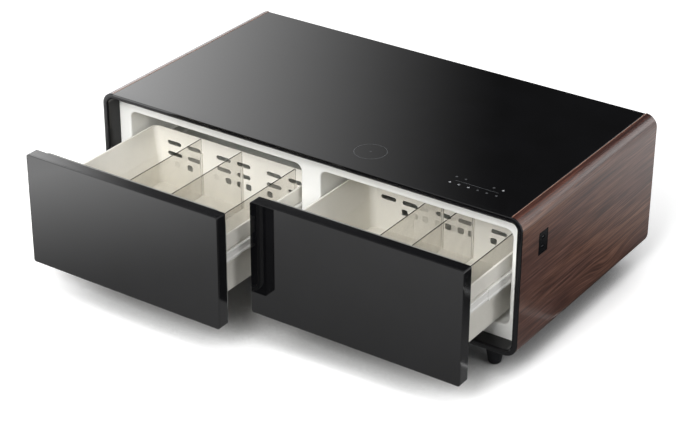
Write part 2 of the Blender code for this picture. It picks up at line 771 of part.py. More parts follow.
def back_panels():
    """The moulded back with its louvres, and the service panel that carries the mains inlet."""
    middle_z = (CORE_BOTTOM + CORE_TOP) / 2
    outline = case_outline(SKIN_INSET, CORE_TOP)
    inlet_z = case_z(INLET_Z)
    half_w = INLET_WIDTH / 2 + SEAT_GAP
    half_h = INLET_HEIGHT / 2 + SEAT_GAP
    inlet_hole = rectangle((INLET_X - half_w, inlet_z - half_h),
                           (INLET_X + half_w, inlet_z + half_h))
    front, back = case_y(BACK_PANEL_FRONT), case_y(BACK_PANEL_FRONT + BACK_SHEET)
    split = HALF_WIDTH - SKIN_INSET - SERVICE_PANEL_WIDTH
    slots = louvres(CONDENSER_X, middle_z) + louvres(COMPRESSOR_X, middle_z)
    panels = (("back_panel", slots, split - SEAT_GAP / 2, HALF_WIDTH),
              ("service_panel", [inlet_hole], -HALF_WIDTH, split + SEAT_GAP / 2))
    for name, holes, cut_left, cut_right in panels:
        panel = slab(name, [outline] + holes, "Y", front, back)
        rest = box("rest", (cut_left, front - CUT_OVERRUN, CASE_BOTTOM),
                   (cut_right, back + CUT_OVERRUN, CASE_TOP))
        combine(panel, rest, "DIFFERENCE")
        finish_part(panel, "black_plastic")


def feet():
    """Four tapered feet under the base pan."""
    top = CASE_BOTTOM - SEAT_GAP
    quarter = math.pi / 2
    profile = [(0, top), (FOOT_TOP_RADIUS, top), (FOOT_TOP_RADIUS, top - FOOT_COLLAR)]
    profile += [(FOOT_BOTTOM_RADIUS - FOOT_ROUND + u, v) for u, v in
                arc(0, FOOT_ROUND, FOOT_ROUND, 0, -quarter, SMALL_ARC_STEPS)]
    profile.append((0, 0))
    reach_x = HALF_WIDTH - FOOT_INSET_X
    rows = {"front": case_y(FOOT_INSET_Y), "rear": case_y(CASE_DEPTH - FOOT_INSET_Y)}
    for row, y in rows.items():
        for side, word in ((-1, "left"), (1, "right")):
            foot = turned("foot_" + row + "_" + word, profile, (side * reach_x, y, 0))
            finish_part(smooth(foot), "black_rubber")


# Outlet and inlet

def outlet():
    """The outlet plate in the right shell and the module behind it."""
    face = HALF_WIDTH - OUTLET_RECESS
    plate_back = face - OUTLET_PLATE
    plate = outlet_block("outlet_plate", 0, plate_back, face)
    module_front = plate_back - SEAT_GAP
    module_back = module_front - OUTLET_MODULE_DEPTH
    y, z = case_y(OUTLET_Y), case_z(OUTLET_Z)
    half_w = OUTLET_WIDTH / 2 - OUTLET_MODULE_MARGIN
    half_h = OUTLET_HEIGHT / 2 - OUTLET_MODULE_MARGIN
    module = box("outlet_module", (module_back, y - half_w, z - half_h),
                 (module_front, y + half_w, z + half_h))
    socket_floor = module_back + OUTLET_MODULE_MARGIN
    for index, step in enumerate((-1, 1)):
        port_z = z + step * OUTLET_PORT_PITCH / 2
        low = (socket_floor, y - OUTLET_PORT_WIDTH / 2, port_z - OUTLET_PORT_HEIGHT / 2)
        high = (HALF_WIDTH + CUT_OVERRUN, y + OUTLET_PORT_WIDTH / 2,
                port_z + OUTLET_PORT_HEIGHT / 2)
        combine(plate, box("plate_port_" + str(index), low, high), "DIFFERENCE")
        combine(module, box("module_port_" + str(index), low, high), "DIFFERENCE")
    finish_part(plate, "black_plastic")
    finish_part(module, "black_plastic")


def power_inlet():
    """The mains inlet in the back panel, a shell with three blades."""
    z = case_z(INLET_Z)
    panel_back = case_y(BACK_PANEL_FRONT + BACK_SHEET)
    flange_w = INLET_WIDTH / 2 + INLET_FLANGE
    flange_h = INLET_HEIGHT / 2 + INLET_FLANGE
    face = panel_back + SEAT_GAP + INLET_WALL
    body = box("power_inlet", (INLET_X - flange_w, panel_back + SEAT_GAP, z - flange_h),
               (INLET_X + flange_w, face, z + flange_h))
    shell_low = (INLET_X - INLET_WIDTH / 2, face - INLET_DEPTH, z - INLET_HEIGHT / 2)
    shell_high = (INLET_X + INLET_WIDTH / 2, face - INLET_WALL / 2, z + INLET_HEIGHT / 2)
    combine(body, box("inlet_shell", shell_low, shell_high), "UNION")
    room_low = [shell_low[0] + INLET_WALL, shell_low[1] + INLET_WALL, shell_low[2] + INLET_WALL]
    room_high = [shell_high[0] - INLET_WALL, face + CUT_OVERRUN, shell_high[2] - INLET_WALL]
    combine(body, box("inlet_room", room_low, room_high), "DIFFERENCE")
    blades = []
    for share in INLET_PIN_SHARES:
        x = INLET_X + share * INLET_WIDTH
        root = room_low[1] - INLET_WALL / 2
        blades.append(box("blade",
                          (x - INLET_PIN_WIDTH / 2, root, z - INLET_PIN_HEIGHT / 2),
                          (x + INLET_PIN_WIDTH / 2, root + INLET_PIN_LENGTH,
                           z + INLET_PIN_HEIGHT / 2)))
    combine(body, join("inlet_blades", blades), "UNION")
    return finish_part(body, "black_plastic")


# Cooling parts

def fin_block(name, low, high, spine_back):
    """A block of upright fins on a spine, which runs along the front or the back."""
    x0, y0, z0 = low
    x1, y1, z1 = high
    spine, tip = (y1, y0) if spine_back else (y0, y1)
    root = spine - FIN_ROOT if spine_back else spine + FIN_ROOT
    count = int((x1 - x0 - FIN_THICKNESS) / FIN_PITCH) + 1
    outline = [(x1, spine), (x0, spine)]
    start = (x0 + x1 - (count - 1) * FIN_PITCH - FIN_THICKNESS) / 2
    outline.append((x0, root))
    for i in range(count):
        left = start + i * FIN_PITCH
        right = left + FIN_THICKNESS
        outline += [(left, root), (left, tip), (right, tip), (right, root)]
    outline.append((x1, root))
    return slab(name, [outline], "Z", z0, z1)


def evaporator():
    """The evaporator on the back wall of the left compartment, behind its cover."""
    left = -DRAWER_CENTRE - CAVITY_WIDTH / 2 + EVAPORATOR_INSET
    back = case_y(CAVITY_BACK - SEAT_GAP)
    low = (left, back - EVAPORATOR_DEPTH, case_z(EVAPORATOR_BOTTOM))
    high = (left + EVAPORATOR_WIDTH, back, case_z(EVAPORATOR_BOTTOM + EVAPORATOR_HEIGHT))
    return finish_part(fin_block("evaporator", low, high, True), "aluminium")


def condenser():
    """The condenser on the base pan, fins towards the fan."""
    low = (CONDENSER_X - CONDENSER_WIDTH / 2, case_y(MACHINE_BAY_START), PAN_FLOOR + SEAT_GAP)
    high = (CONDENSER_X + CONDENSER_WIDTH / 2, case_y(MACHINE_BAY_START + CONDENSER_DEPTH),
            PAN_FLOOR + SEAT_GAP + CONDENSER_HEIGHT)
    return finish_part(fin_block("condenser", low, high, False), "black_steel")


def fan(prefix, size, centre_x, front_y, centre_z):
    """A square axial fan: a frame with arms and an axle, and a bladed rotor that turns on it."""
    half = size / 2
    bore = half - FAN_WALL
    square = rounded_rect((centre_x - half, centre_z - half), (centre_x + half, centre_z + half),
                          FAN_CORNER, SMALL_ARC_STEPS)
    back_y = front_y + FAN_DEPTH
    frame = slab(prefix + "_frame", [square], "Y", front_y, back_y)
    combine(frame, cylinder(prefix + "_bore", (centre_x, front_y + FAN_DEPTH / 2, centre_z),
                            bore, FAN_DEPTH + CUT_OVERRUN, "Y"), "DIFFERENCE")
    arm_low_y = back_y - FAN_ARM_DEPTH
    reach = bore + FAN_WALL / 2
    arm_half = FAN_ARM_WIDTH / 2
    flat_y = back_y - SEAT_GAP
    combine(frame, box(prefix + "_arm_flat", (centre_x - reach, arm_low_y, centre_z - arm_half),
                       (centre_x + reach, flat_y, centre_z + arm_half)), "UNION")
    combine(frame, box(prefix + "_arm_upright",
                       (centre_x - arm_half, arm_low_y + SEAT_GAP, centre_z - reach),
                       (centre_x + arm_half, flat_y - SEAT_GAP, centre_z + reach)), "UNION")
    hub_depth = FAN_DEPTH - 2 * FAN_ARM_DEPTH
    hub_front = front_y + FAN_ARM_DEPTH
    axle_front = hub_front + FAN_ARM_DEPTH
    axle = cylinder(prefix + "_axle", (centre_x, (axle_front + back_y) / 2, centre_z),
                    FAN_AXLE_RADIUS, back_y - axle_front - FAN_ARM_DEPTH / 2, "Y",
                    AXLE_SIDES)
    combine(frame, axle, "UNION")
    finish_part(frame, "black_plastic")
    pivot = (centre_x, hub_front + hub_depth / 2, centre_z)
    holder = make_empty(prefix + "_pivot", pivot)
    rotor = fan_rotor(prefix + "_rotor", bore, hub_depth, pivot)
    rotor.location = pivot
    socket_depth = hub_depth - FAN_ARM_DEPTH + SEAT_GAP
    socket = cylinder(prefix + "_socket",
                      (centre_x, pivot[1] + hub_depth / 2 - socket_depth / 2
                       + CUT_OVERRUN / 2, centre_z),
                      FAN_AXLE_RADIUS + SEAT_GAP, socket_depth + CUT_OVERRUN, "Y", AXLE_SIDES)
    combine(rotor, socket, "DIFFERENCE")
    return finish_part(rotor, "white_plastic", holder)


def fan_rotor(name, bore, hub_depth, pivot):
    """A hub with pitched blades, modelled about its own centre."""
    hub_radius = bore * FAN_HUB_SHARE
    tip = bore - FAN_BLADE_TIP_GAP
    rotor = cylinder(name, (0, 0, 0), hub_radius, hub_depth, "Y")
    root = hub_radius - FAN_BLADE_THICKNESS
    chord = 2 * math.pi / FAN_BLADES * FAN_CHORD_SHARE
    blades = []
    for i in range(FAN_BLADES):
        start = 2 * math.pi * i / FAN_BLADES
        blades.append(fan_blade(root, tip, hub_depth * FAN_BLADE_DEPTH_SHARE, start, chord))
    tool = join(name + "_blades", blades)
    tool.location = pivot
    combine(rotor, tool, "UNION")
    return rotor


def fan_blade(root, tip, depth, start, chord):
    """One blade, a sheet that rises along the axis as it goes round, then thickened."""
    work = bmesh.new()
    rows = []
    for radius in (root, (root + tip) / 2, tip):
        row = []
        for step in range(3):
            angle = start + chord * step / 2
            rise = depth * (step - 1) / 2
            row.append(work.verts.new((radius * math.cos(angle), rise,
                                       radius * math.sin(angle))))
        rows.append(row)
    for low, high in zip(rows, rows[1:]):
        for i in range(2):
            work.faces.new((low[i], low[i + 1], high[i + 1], high[i]))
    blade = object_from(work, "blade")
    thicken = blade.modifiers.new("thickness", "SOLIDIFY")
    thicken.thickness = FAN_BLADE_THICKNESS
    thicken.offset = 0
    bpy.context.scene.collection.objects.link(blade)
    depsgraph = bpy.context.evaluated_depsgraph_get()
    mesh = bpy.data.meshes.new_from_object(blade.evaluated_get(depsgraph))
    bpy.data.objects.remove(blade, do_unlink=True)
    return bpy.data.objects.new("blade", mesh)


def condenser_fan():
    """The fan behind the condenser."""
    front = case_y(MACHINE_BAY_START + CONDENSER_DEPTH + SEAT_GAP)
    z = PAN_FLOOR + SEAT_GAP + CONDENSER_HEIGHT / 2
    fan("condenser_fan", CONDENSER_FAN_SIZE, CONDENSER_X, front, z)


def evaporator_fan_place():
    """X and Z of the evaporator fan's axis."""
    x = -DRAWER_CENTRE + CAVITY_WIDTH / 2 - EVAPORATOR_FAN_INSET
    return x, case_z(CAVITY_BOTTOM + CAVITY_HEIGHT / 2)


def evaporator_fan():
    """The fan on the back of the left duct cover."""
    x, z = evaporator_fan_place()
    fan("evaporator_fan", EVAPORATOR_FAN_SIZE, x,
        case_y(COVER_Y + COVER_THICKNESS + SEAT_GAP), z)


def duct_cover(side):
    """A cover across the back of one compartment, with air slots."""
    outline = cavity_outline(side, -SEAT_GAP)
    left = side * DRAWER_CENTRE - CAVITY_WIDTH / 2
    outlines = [outline]
    for column in COVER_SLOT_COLUMN_SHARES:
        for row in COVER_SLOT_ROW_SHARES:
            outlines.append(centred_slot(left + column * CAVITY_WIDTH,
                                         case_z(CAVITY_BOTTOM + row * CAVITY_HEIGHT),
                                         COVER_SLOT_LENGTH, COVER_SLOT_HEIGHT))
    if side < 0:
        x, z = evaporator_fan_place()
        outlines.append(circle(x, z, EVAPORATOR_FAN_SIZE / 2 - FAN_WALL))
    word = "left" if side < 0 else "right"
    cover = slab(word + "_duct_cover", outlines, "Y", case_y(COVER_Y),
                 case_y(COVER_Y + COVER_THICKNESS))
    return finish_part(cover, "white_plastic")


def compressor():
    """The compressor's welded shell on its foot plate, its rubber cushion and relay box."""
    x, y = COMPRESSOR_X, case_y(COMPRESSOR_Y)
    plate_z = PAN_FLOOR + SEAT_GAP * 2 + GROMMET_HEIGHT
    plate = box("compressor", (x - MOUNT_PLATE_WIDTH / 2, y - MOUNT_PLATE_DEPTH / 2, plate_z),
                (x + MOUNT_PLATE_WIDTH / 2, y + MOUNT_PLATE_DEPTH / 2,
                 plate_z + MOUNT_PLATE_THICKNESS))
    base = plate_z + MOUNT_PLATE_THICKNESS / 2
    quarter = math.pi / 2
    flat = COMPRESSOR_RADIUS - COMPRESSOR_DOME
    top = base + COMPRESSOR_HEIGHT
    seam = base + COMPRESSOR_SEAM_SHARE * COMPRESSOR_HEIGHT
    profile = [(0, top)]
    profile += arc(flat, top - COMPRESSOR_DOME, COMPRESSOR_DOME, quarter, 0, CORNER_STEPS)
    profile += [(COMPRESSOR_RADIUS, seam + COMPRESSOR_SEAM_HEIGHT),
                (COMPRESSOR_RADIUS + COMPRESSOR_SEAM, seam + COMPRESSOR_SEAM_HEIGHT),
                (COMPRESSOR_RADIUS + COMPRESSOR_SEAM, seam), (COMPRESSOR_RADIUS, seam)]
    profile += arc(flat, base + COMPRESSOR_DOME, COMPRESSOR_DOME, 0, -quarter, CORNER_STEPS)
    profile.append((0, base))
    combine(plate, turned("compressor_shell", profile, (x, y, 0)), "UNION")
    finish_part(plate, "black_steel")
    low_z = PAN_FLOOR + SEAT_GAP
    cushion = box("compressor_cushion",
                  (x - MOUNT_PLATE_WIDTH / 2, y - MOUNT_PLATE_DEPTH / 2, low_z),
                  (x + MOUNT_PLATE_WIDTH / 2, y + MOUNT_PLATE_DEPTH / 2,
                   low_z + CUSHION_WEB))
    reach_x = MOUNT_PLATE_WIDTH / 2 - MOUNT_HOLE_INSET
    reach_y = MOUNT_PLATE_DEPTH / 2 - MOUNT_HOLE_INSET
    bosses = []
    for sx in (-1, 1):
        for sy in (-1, 1):
            start_z = low_z + CUSHION_WEB / 2
            height = GROMMET_HEIGHT - CUSHION_WEB / 2
            bosses.append(cylinder("boss", (x + sx * reach_x, y + sy * reach_y,
                                            start_z + height / 2), GROMMET_RADIUS, height))
    combine(cushion, join("cushion_bosses", bosses), "UNION")
    finish_part(cushion, "black_rubber")
    start = x + COMPRESSOR_RADIUS + SEAT_GAP
    relay_z = base + RELAY_LIFT
    relay = box("relay_box", (start, y - RELAY_DEPTH / 2, relay_z - RELAY_HEIGHT / 2),
                (start + RELAY_WIDTH, y + RELAY_DEPTH / 2, relay_z + RELAY_HEIGHT / 2))
    finish_part(relay, "black_plastic")


def round_path(corners, radius, steps=SMALL_ARC_STEPS):
    """A path through corners, each rounded by a curve that starts a radius away."""
    points = [Vector(corners[0])]
    for before, corner, after in zip(corners, corners[1:], corners[2:]):
        before, corner, after = Vector(before), Vector(corner), Vector(after)
        start = corner + (before - corner).normalized() * radius
        end = corner + (after - corner).normalized() * radius
        for i in range(steps + 1):
            t = i / steps
            points.append(start * (1 - t) ** 2 + corner * 2 * t * (1 - t) + end * t ** 2)
    points.append(Vector(corners[-1]))
    return points


def refrigerant_pipes():
    """The hot pipe to the condenser and the cold pipe from the foam's back wall."""
    x, y = COMPRESSOR_X, case_y(COMPRESSOR_Y)
    shell_top = (PAN_FLOOR + SEAT_GAP * 2 + GROMMET_HEIGHT + MOUNT_PLATE_THICKNESS / 2
                 + COMPRESSOR_HEIGHT)
    start_z = shell_top + SEAT_GAP
    run_z = start_z + STUB_HEIGHT
    bend = PIPE_BEND_RADIUS
    condenser_top = PAN_FLOOR + SEAT_GAP * 2 + CONDENSER_HEIGHT
    spine_y = case_y(MACHINE_BAY_START) + FIN_ROOT / 2
    end_x = CONDENSER_X + CONDENSER_WIDTH / 2 - FIN_ROOT
    hot_x = x - PIPE_RADIUS * 2
    cold_x = x + PIPE_RADIUS * 2
    high_z = condenser_top + STUB_HEIGHT
    hot = round_path([(hot_x, y, start_z), (hot_x, y, run_z), (hot_x, spine_y, run_z),
                      (end_x, spine_y, high_z), (end_x, spine_y, condenser_top)], bend)
    wall_y = case_y(FOAM_BACK + SEAT_GAP)
    cold = round_path([(cold_x, y, start_z), (cold_x, y, run_z + bend),
                       (cold_x, wall_y, run_z + bend)], bend)
    finish_part(smooth(tube("hot_pipe", hot, PIPE_RADIUS)), "copper")
    finish_part(smooth(tube("cold_pipe", cold, PIPE_RADIUS)), "copper")


def condensate_tray():
    """The tray that catches melt water, open at the top."""
    y = case_y(COMPRESSOR_Y)
    low = (TRAY_LEFT, y - TRAY_DEPTH / 2, PAN_FLOOR + SEAT_GAP)
    high = (TRAY_LEFT + TRAY_WIDTH, y + TRAY_DEPTH / 2,
            PAN_FLOOR + SEAT_GAP + TRAY_HEIGHT)
    tray = box("condensate_tray", low, high)
    room = box("tray_room", [v + TRAY_WALL for v in low],
               (high[0] - TRAY_WALL, high[1] - TRAY_WALL, high[2] + CUT_OVERRUN))
    combine(tray, room, "DIFFERENCE")
    return finish_part(tray, "white_plastic")


def power_supply():
    """The closed power supply on the base pan."""
    y = case_y(COMPRESSOR_Y)
    low = (SUPPLY_RIGHT - SUPPLY_WIDTH, y - SUPPLY_DEPTH / 2, PAN_FLOOR + SEAT_GAP)
    high = (SUPPLY_RIGHT, y + SUPPLY_DEPTH / 2, PAN_FLOOR + SEAT_GAP + SUPPLY_HEIGHT)
    return finish_part(bevel(box("power_supply", low, high), SUPPLY_BEVEL), "zinc_steel")


# Drawers

def bin_side_cuts(name, centre, front, back):
    """Blocks that cut the slide channels and the narrower skirt into a bin's sides."""
    channel_low, channel_top = case_z(CHANNEL_BOTTOM), case_z(CHANNEL_TOP)
    skirt_top = channel_low - CHANNEL_LIP
    outer = BIN_HALF + CUT_OVERRUN
    blocks = []
    for side in (-1, 1):
        for inner, low, high in ((CHANNEL_HALF, channel_low, channel_top),
                                 (SKIRT_HALF, case_z(BIN_BOTTOM) - CUT_OVERRUN, skirt_top)):
            ends = sorted((centre + side * inner, centre + side * outer))
            blocks.append(box("block", (ends[0], front - CUT_OVERRUN, low),
                              (ends[1], back + CUT_OVERRUN, high)))
    return join(name, blocks)


def bin_plan(centre, half, front, back, radius):
    """A plan outline with round rear corners and square front ones."""
    quarter = math.pi / 2
    outline = [(centre - half, front), (centre + half, front)]
    outline += arc(centre + half - radius, back - radius, radius, 0, quarter, CORNER_STEPS)
    outline += arc(centre - half + radius, back - radius, radius, quarter, 2 * quarter,
                   CORNER_STEPS)
    return outline


def bin_room(name, centre, half, front, back, radius, low, high):
    """One level of the hollow inside a bin."""
    return slab(name, [bin_plan(centre, half, front, back, radius)], "Z", low, high)


def bin_slots(centre):
    """Outlines of the air slots and small ports in a bin's rear wall."""
    left = centre - BIN_HALF
    outlines = []
    for row in SLOT_ROW_SHARES:
        for column in SLOT_COLUMN_SHARES:
            outlines.append(centred_slot(left + column * BIN_WIDTH,
                                         case_z(BIN_BOTTOM + row * BIN_HEIGHT),
                                         SLOT_LENGTH, SLOT_HEIGHT))
    for column in PORT_COLUMN_SHARES:
        outlines.append(centred_slot(left + column * BIN_WIDTH,
                                     case_z(BIN_BOTTOM + PORT_ROW_SHARE * BIN_HEIGHT),
                                     PORT_LENGTH, PORT_HEIGHT))
    return outlines


def drawer_bin(word, centre, front, shares, holder):
    """A white bin with stepped sides, rear air slots and guides for its dividers."""
    back = front + BIN_LENGTH
    floor, rim = case_z(BIN_BOTTOM), case_z(BIN_BOTTOM + BIN_HEIGHT)
    tub = slab(word + "_bin", [bin_plan(centre, BIN_HALF, front, back, BIN_REAR_RADIUS)], "Z",
               floor, rim)
    combine(tub, bin_side_cuts(word + "_bin_side_cuts", centre, front, back), "DIFFERENCE")
    inner_front, inner_back = front + BIN_WALL, back - BIN_WALL
    step_low = case_z(CHANNEL_BOTTOM) - CHANNEL_LIP
    step_high = case_z(CHANNEL_TOP) + BIN_WALL
    levels = ((SKIRT_HALF - BIN_WALL, floor + BIN_WALL, rim),
              (CHANNEL_HALF - BIN_WALL, step_low, rim),
              (BIN_HALF - BIN_RIM_WIDTH, step_high, rim))
    for index, (half, low, high) in enumerate(levels):
        room = bin_room(word + "_bin_room_" + str(index), centre, half, inner_front, inner_back,
                        BIN_REAR_RADIUS - BIN_WALL, low, high + CUT_OVERRUN)
        combine(tub, room, "DIFFERENCE")
    slots = slab(word + "_bin_slots", bin_slots(centre), "Y", inner_back - BIN_WALL,
                 back + BIN_WALL)
    combine(tub, slots, "DIFFERENCE")
    combine(tub, divider_guides(word, centre, inner_front, inner_back, shares), "UNION")
    return finish_part(tub, "warm_white", holder)


def divider_x(centre, share):
    """World X of a divider's middle."""
    return centre - BIN_HALF + share * BIN_WIDTH


def divider_guides(word, centre, inner_front, inner_back, shares):
    """Pairs of ribs on the front and rear walls, one pair for each end of each divider."""
    low = case_z(BIN_BOTTOM) + BIN_WALL - GUIDE_ROOT
    high = case_z(CHANNEL_TOP)
    inner = DIVIDER_THICKNESS / 2 + SEAT_GAP
    ribs = []
    for share in shares:
        x = divider_x(centre, share)
        for side in (-1, 1):
            near, far = x + side * inner, x + side * (inner + GUIDE_WIDTH)
            x_low, x_high = min(near, far), max(near, far)
            ribs.append(box("rib", (x_low, inner_front - GUIDE_ROOT, low),
                            (x_high, inner_front + GUIDE_DEPTH, high)))
            ribs.append(box("rib", (x_low, inner_back - GUIDE_DEPTH, low),
                            (x_high, inner_back + GUIDE_ROOT, high)))
    return join(word + "_divider_guides", ribs)


def drawer_dividers(word, centre, front, shares, holder):
    """The clear dividers, which stand on the bin's floor between their guides."""
    floor = case_z(BIN_BOTTOM) + BIN_WALL + SEAT_GAP
    rim = case_z(BIN_BOTTOM + BIN_HEIGHT)
    inner_front = front + BIN_WALL + SEAT_GAP
    inner_back = front + BIN_LENGTH - BIN_WALL - SEAT_GAP
    for index, share in enumerate(shares):
        x = divider_x(centre, share)
        sheet = box(word + "_divider_" + str(index + 1),
                    (x - DIVIDER_THICKNESS / 2, inner_front, floor),
                    (x + DIVIDER_THICKNESS / 2, inner_back, rim))
        finish_part(sheet, "clear_plastic", holder)


def slide_section(wall_x, toward, near, far, half_height, open_to_bin):
    """A channel section in a slide; near and far count from the compartment's wall."""
    metal = SLIDE_METAL
    z = SLIDE_MIDDLE_Z
    web, tip = (near, far) if open_to_bin else (far, near)
    web_in = web + metal if open_to_bin else web - metal
    corners = [(web, -half_height), (tip, -half_height), (tip, -half_height + metal),
               (web_in, -half_height + metal), (web_in, half_height - metal),
               (tip, half_height - metal), (tip, half_height), (web, half_height)]
    return [(wall_x + toward * u, z + v) for u, v in corners]


def drawer_slides(word, centre, pulled_out, holder, middle_holder):
    """The telescopic slides: outer members on the liner, inner ones on the bin."""
    start = case_y(SLIDE_START)
    step = SLIDE_METAL + SEAT_GAP
    half = SLIDE_HEIGHT / 2
    members = (("outer", SEAT_GAP, SLIDE_SPACE - SEAT_GAP - step, half, True, 0, None),
               ("middle", SEAT_GAP + step, SLIDE_SPACE - SEAT_GAP - step, half - step, True,
                MIDDLE_SHARE, middle_holder),
               ("inner", SEAT_GAP + 2 * step, SLIDE_SPACE - SEAT_GAP, half - 2 * step, False, 1,
                holder))
    for side, side_word in ((-1, "left"), (1, "right")):
        wall_x = centre + side * CAVITY_WIDTH / 2
        for member, near, far, half_height, to_bin, share, parent in members:
            outline = slide_section(wall_x, -side, near, far, half_height, to_bin)
            y = start - share * pulled_out
            name = word + "_slide_" + member + "_" + side_word
            piece = slab(name, [outline], "Y", y, y + SLIDE_LENGTH)
            finish_part(piece, "painted_steel", parent)


def drawer_front(word, centre, front, holder):
    """The dark glass face and the core behind it."""
    low = (centre - PANEL_WIDTH / 2, case_z(PANEL_BOTTOM))
    high = (centre + PANEL_WIDTH / 2, case_z(PANEL_BOTTOM + PANEL_HEIGHT))
    outline = rounded_rect(low, high, PANEL_CORNER, SMALL_ARC_STEPS)
    glass = slab(word + "_front_glass", [outline], "Y", front, front + PANEL_GLASS)
    chamfer_at(glass, "Y", front, PANEL_GLASS_BEVEL)
    finish_part(glass, "black_glass", holder)
    back = front + PANEL_THICKNESS
    core = slab(word + "_front_core", [outline], "Y", front + PANEL_GLASS + SEAT_GAP, back)
    chamfer_at(core, "Y", back, PANEL_BACK_CHAMFER)
    finish_part(core, "black_plastic", holder)


def drawer_gasket(word, side, front, holder):
    """The seal on the back of a drawer front, which closes against the liner's flange."""
    start = front + PANEL_THICKNESS + SEAT_GAP
    rings = [cavity_outline(side, GASKET_MARGIN + GASKET_WIDTH),
             cavity_outline(side, GASKET_MARGIN)]
    gasket = slab(word + "_gasket", rings, "Y", start, start + GASKET_THICKNESS - SEAT_GAP)
    chamfer_at(gasket, "Y", start + GASKET_THICKNESS - SEAT_GAP, GASKET_BEVEL)
    finish_part(gasket, "grey_rubber", holder)


def drawer(side, pulled_out, shares):
    """One drawer: its front, seal, bin, dividers and slides."""
    word = "left" if side < 0 else "right"
    centre = side * DRAWER_CENTRE
    front = CASE_FRONT - pulled_out
    height = case_z(PANEL_BOTTOM + PANEL_HEIGHT / 2)
    holder = make_empty(word + "_drawer_slide", (centre, front, height))
    middle = make_empty(word + "_middle_slide",
                        (centre, CASE_FRONT - MIDDLE_SHARE * pulled_out, SLIDE_MIDDLE_Z))
    bin_front = front + PANEL_THICKNESS + SEAT_GAP
    drawer_front(word, centre, front, holder)
    drawer_gasket(word, side, front, holder)
    drawer_bin(word, centre, bin_front, shares, holder)
    drawer_dividers(word, centre, bin_front, shares, holder)
    drawer_slides(word, centre, pulled_out, holder, middle)


def main():
    """Builds the whole table."""
    side_shell(-1)
    side_shell(1)
    top_glass()
    top_deck()
    control_board()
    charging_coil()
    front_frame()
    inner_liner()
    foam_insulation()
    base_pan()
    back_panels()
    feet()
    outlet()
    power_inlet()
    evaporator()
    evaporator_fan()
    duct_cover(-1)
    duct_cover(1)
    condenser()
    condenser_fan()
    compressor()
    refrigerant_pipes()
    condensate_tray()
    power_supply()
    drawer(-1, LEFT_PULLED_OUT, LEFT_DIVIDER_SHARES)
    drawer(1, RIGHT_PULLED_OUT, RIGHT_DIVIDER_SHARES)


main()
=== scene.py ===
"""Looks of a refrigerated coffee table, shown with both of its drawers pulled out.

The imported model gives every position. The classes below build the pieces that show, dress the
solids that stay, and set up a plain studio. Lengths are metres unless a name ends in _mm.
"""
import logging
import math
from dataclasses import dataclass
from enum import Enum

import bmesh
import bpy
from mathutils import Matrix, Vector


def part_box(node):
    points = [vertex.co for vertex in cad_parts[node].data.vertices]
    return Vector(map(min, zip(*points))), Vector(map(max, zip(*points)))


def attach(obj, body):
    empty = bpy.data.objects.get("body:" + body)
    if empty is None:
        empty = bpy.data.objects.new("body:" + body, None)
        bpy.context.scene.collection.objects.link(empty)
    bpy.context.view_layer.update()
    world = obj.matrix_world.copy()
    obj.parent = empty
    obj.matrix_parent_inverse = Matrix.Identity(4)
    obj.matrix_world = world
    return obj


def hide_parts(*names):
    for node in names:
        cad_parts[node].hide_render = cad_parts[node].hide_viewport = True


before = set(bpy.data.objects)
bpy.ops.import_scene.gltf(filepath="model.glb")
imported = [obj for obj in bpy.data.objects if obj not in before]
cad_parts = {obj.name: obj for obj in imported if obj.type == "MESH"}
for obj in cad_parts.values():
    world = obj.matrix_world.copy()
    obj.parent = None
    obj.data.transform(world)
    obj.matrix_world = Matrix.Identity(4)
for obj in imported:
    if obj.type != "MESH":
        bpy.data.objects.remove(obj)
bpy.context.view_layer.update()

MM = 0.001
SEAT_GAP = 0.3 * MM
WELD = 0.01 * MM
SHARP_DEG = 32
QUARTER = math.pi / 2
# Most of a noise's factor lies in this span.
NOISE_SPAN = {"From Min": 0.3, "From Max": 0.7}
log = logging.getLogger("coffee_table")

Outline = list[tuple[float, float]]
Point = tuple[float, float, float]
Corner = tuple[float, float] | Vector
Ring = list[Vector]
Stops = list[tuple[float, str]]
Tree = bpy.types.NodeTree
Node = bpy.types.Node
Socket = bpy.types.NodeSocket
Material = bpy.types.Material
Piece = bpy.types.Object


class Axis(Enum):
    """The axis that a flat outline is extruded along."""

    X = Matrix(((0, 0, 1), (1, 0, 0), (0, 1, 0))).to_4x4()
    Y = Matrix(((1, 0, 0), (0, 0, -1), (0, 1, 0))).to_4x4()
    Z = Matrix.Identity(4)


class Side(Enum):
    """One side of the table, seen from its front."""

    LEFT = -1
    RIGHT = 1

    @property
    def word(self) -> str:
        """The side's name in lower case."""
        return self.name.lower()


class Body(Enum):
    """The bodies that pieces ride on."""

    CASE = "case"
    LEFT_DRAWER = "left_drawer"
    RIGHT_DRAWER = "right_drawer"
    LEFT_MIDDLES = "left_slide_middles"
    RIGHT_MIDDLES = "right_slide_middles"


# Colours and nodes

def linear(hex_colour: str) -> tuple[float, float, float, float]:
    """Turns an sRGB hex colour into linear light.

    Args:
        hex_colour: Six hex digits.

    Returns:
        Red, green, blue and an alpha of one.
    """
    channels = [int(hex_colour[i:i + 2], 16) / 255 for i in (0, 2, 4)]
    return tuple(c / 12.92 if c <= 0.04045 else ((c + 0.055) / 1.055) ** 2.4
                 for c in channels) + (1.0,)


def shade_of(hex_colour: str, factor: float) -> str:
    """Makes an sRGB hex colour lighter or darker by a factor."""
    values = [min(255, round(int(hex_colour[i:i + 2], 16) * factor)) for i in (0, 2, 4)]
    return "".join(f"{value:02X}" for value in values)


def feed(tree: Tree, node: Node, inputs: dict) -> None:
    """Sets or links a node's inputs.

    Args:
        tree: The tree that the node is in.
        node: The node.
        inputs: Input names or indexes, each with a value or with the output that feeds it.
    """
    for key, source in inputs.items():
        if isinstance(source, Socket):
            tree.links.new(source, node.inputs[key])
        else:
            node.inputs[key].default_value = source


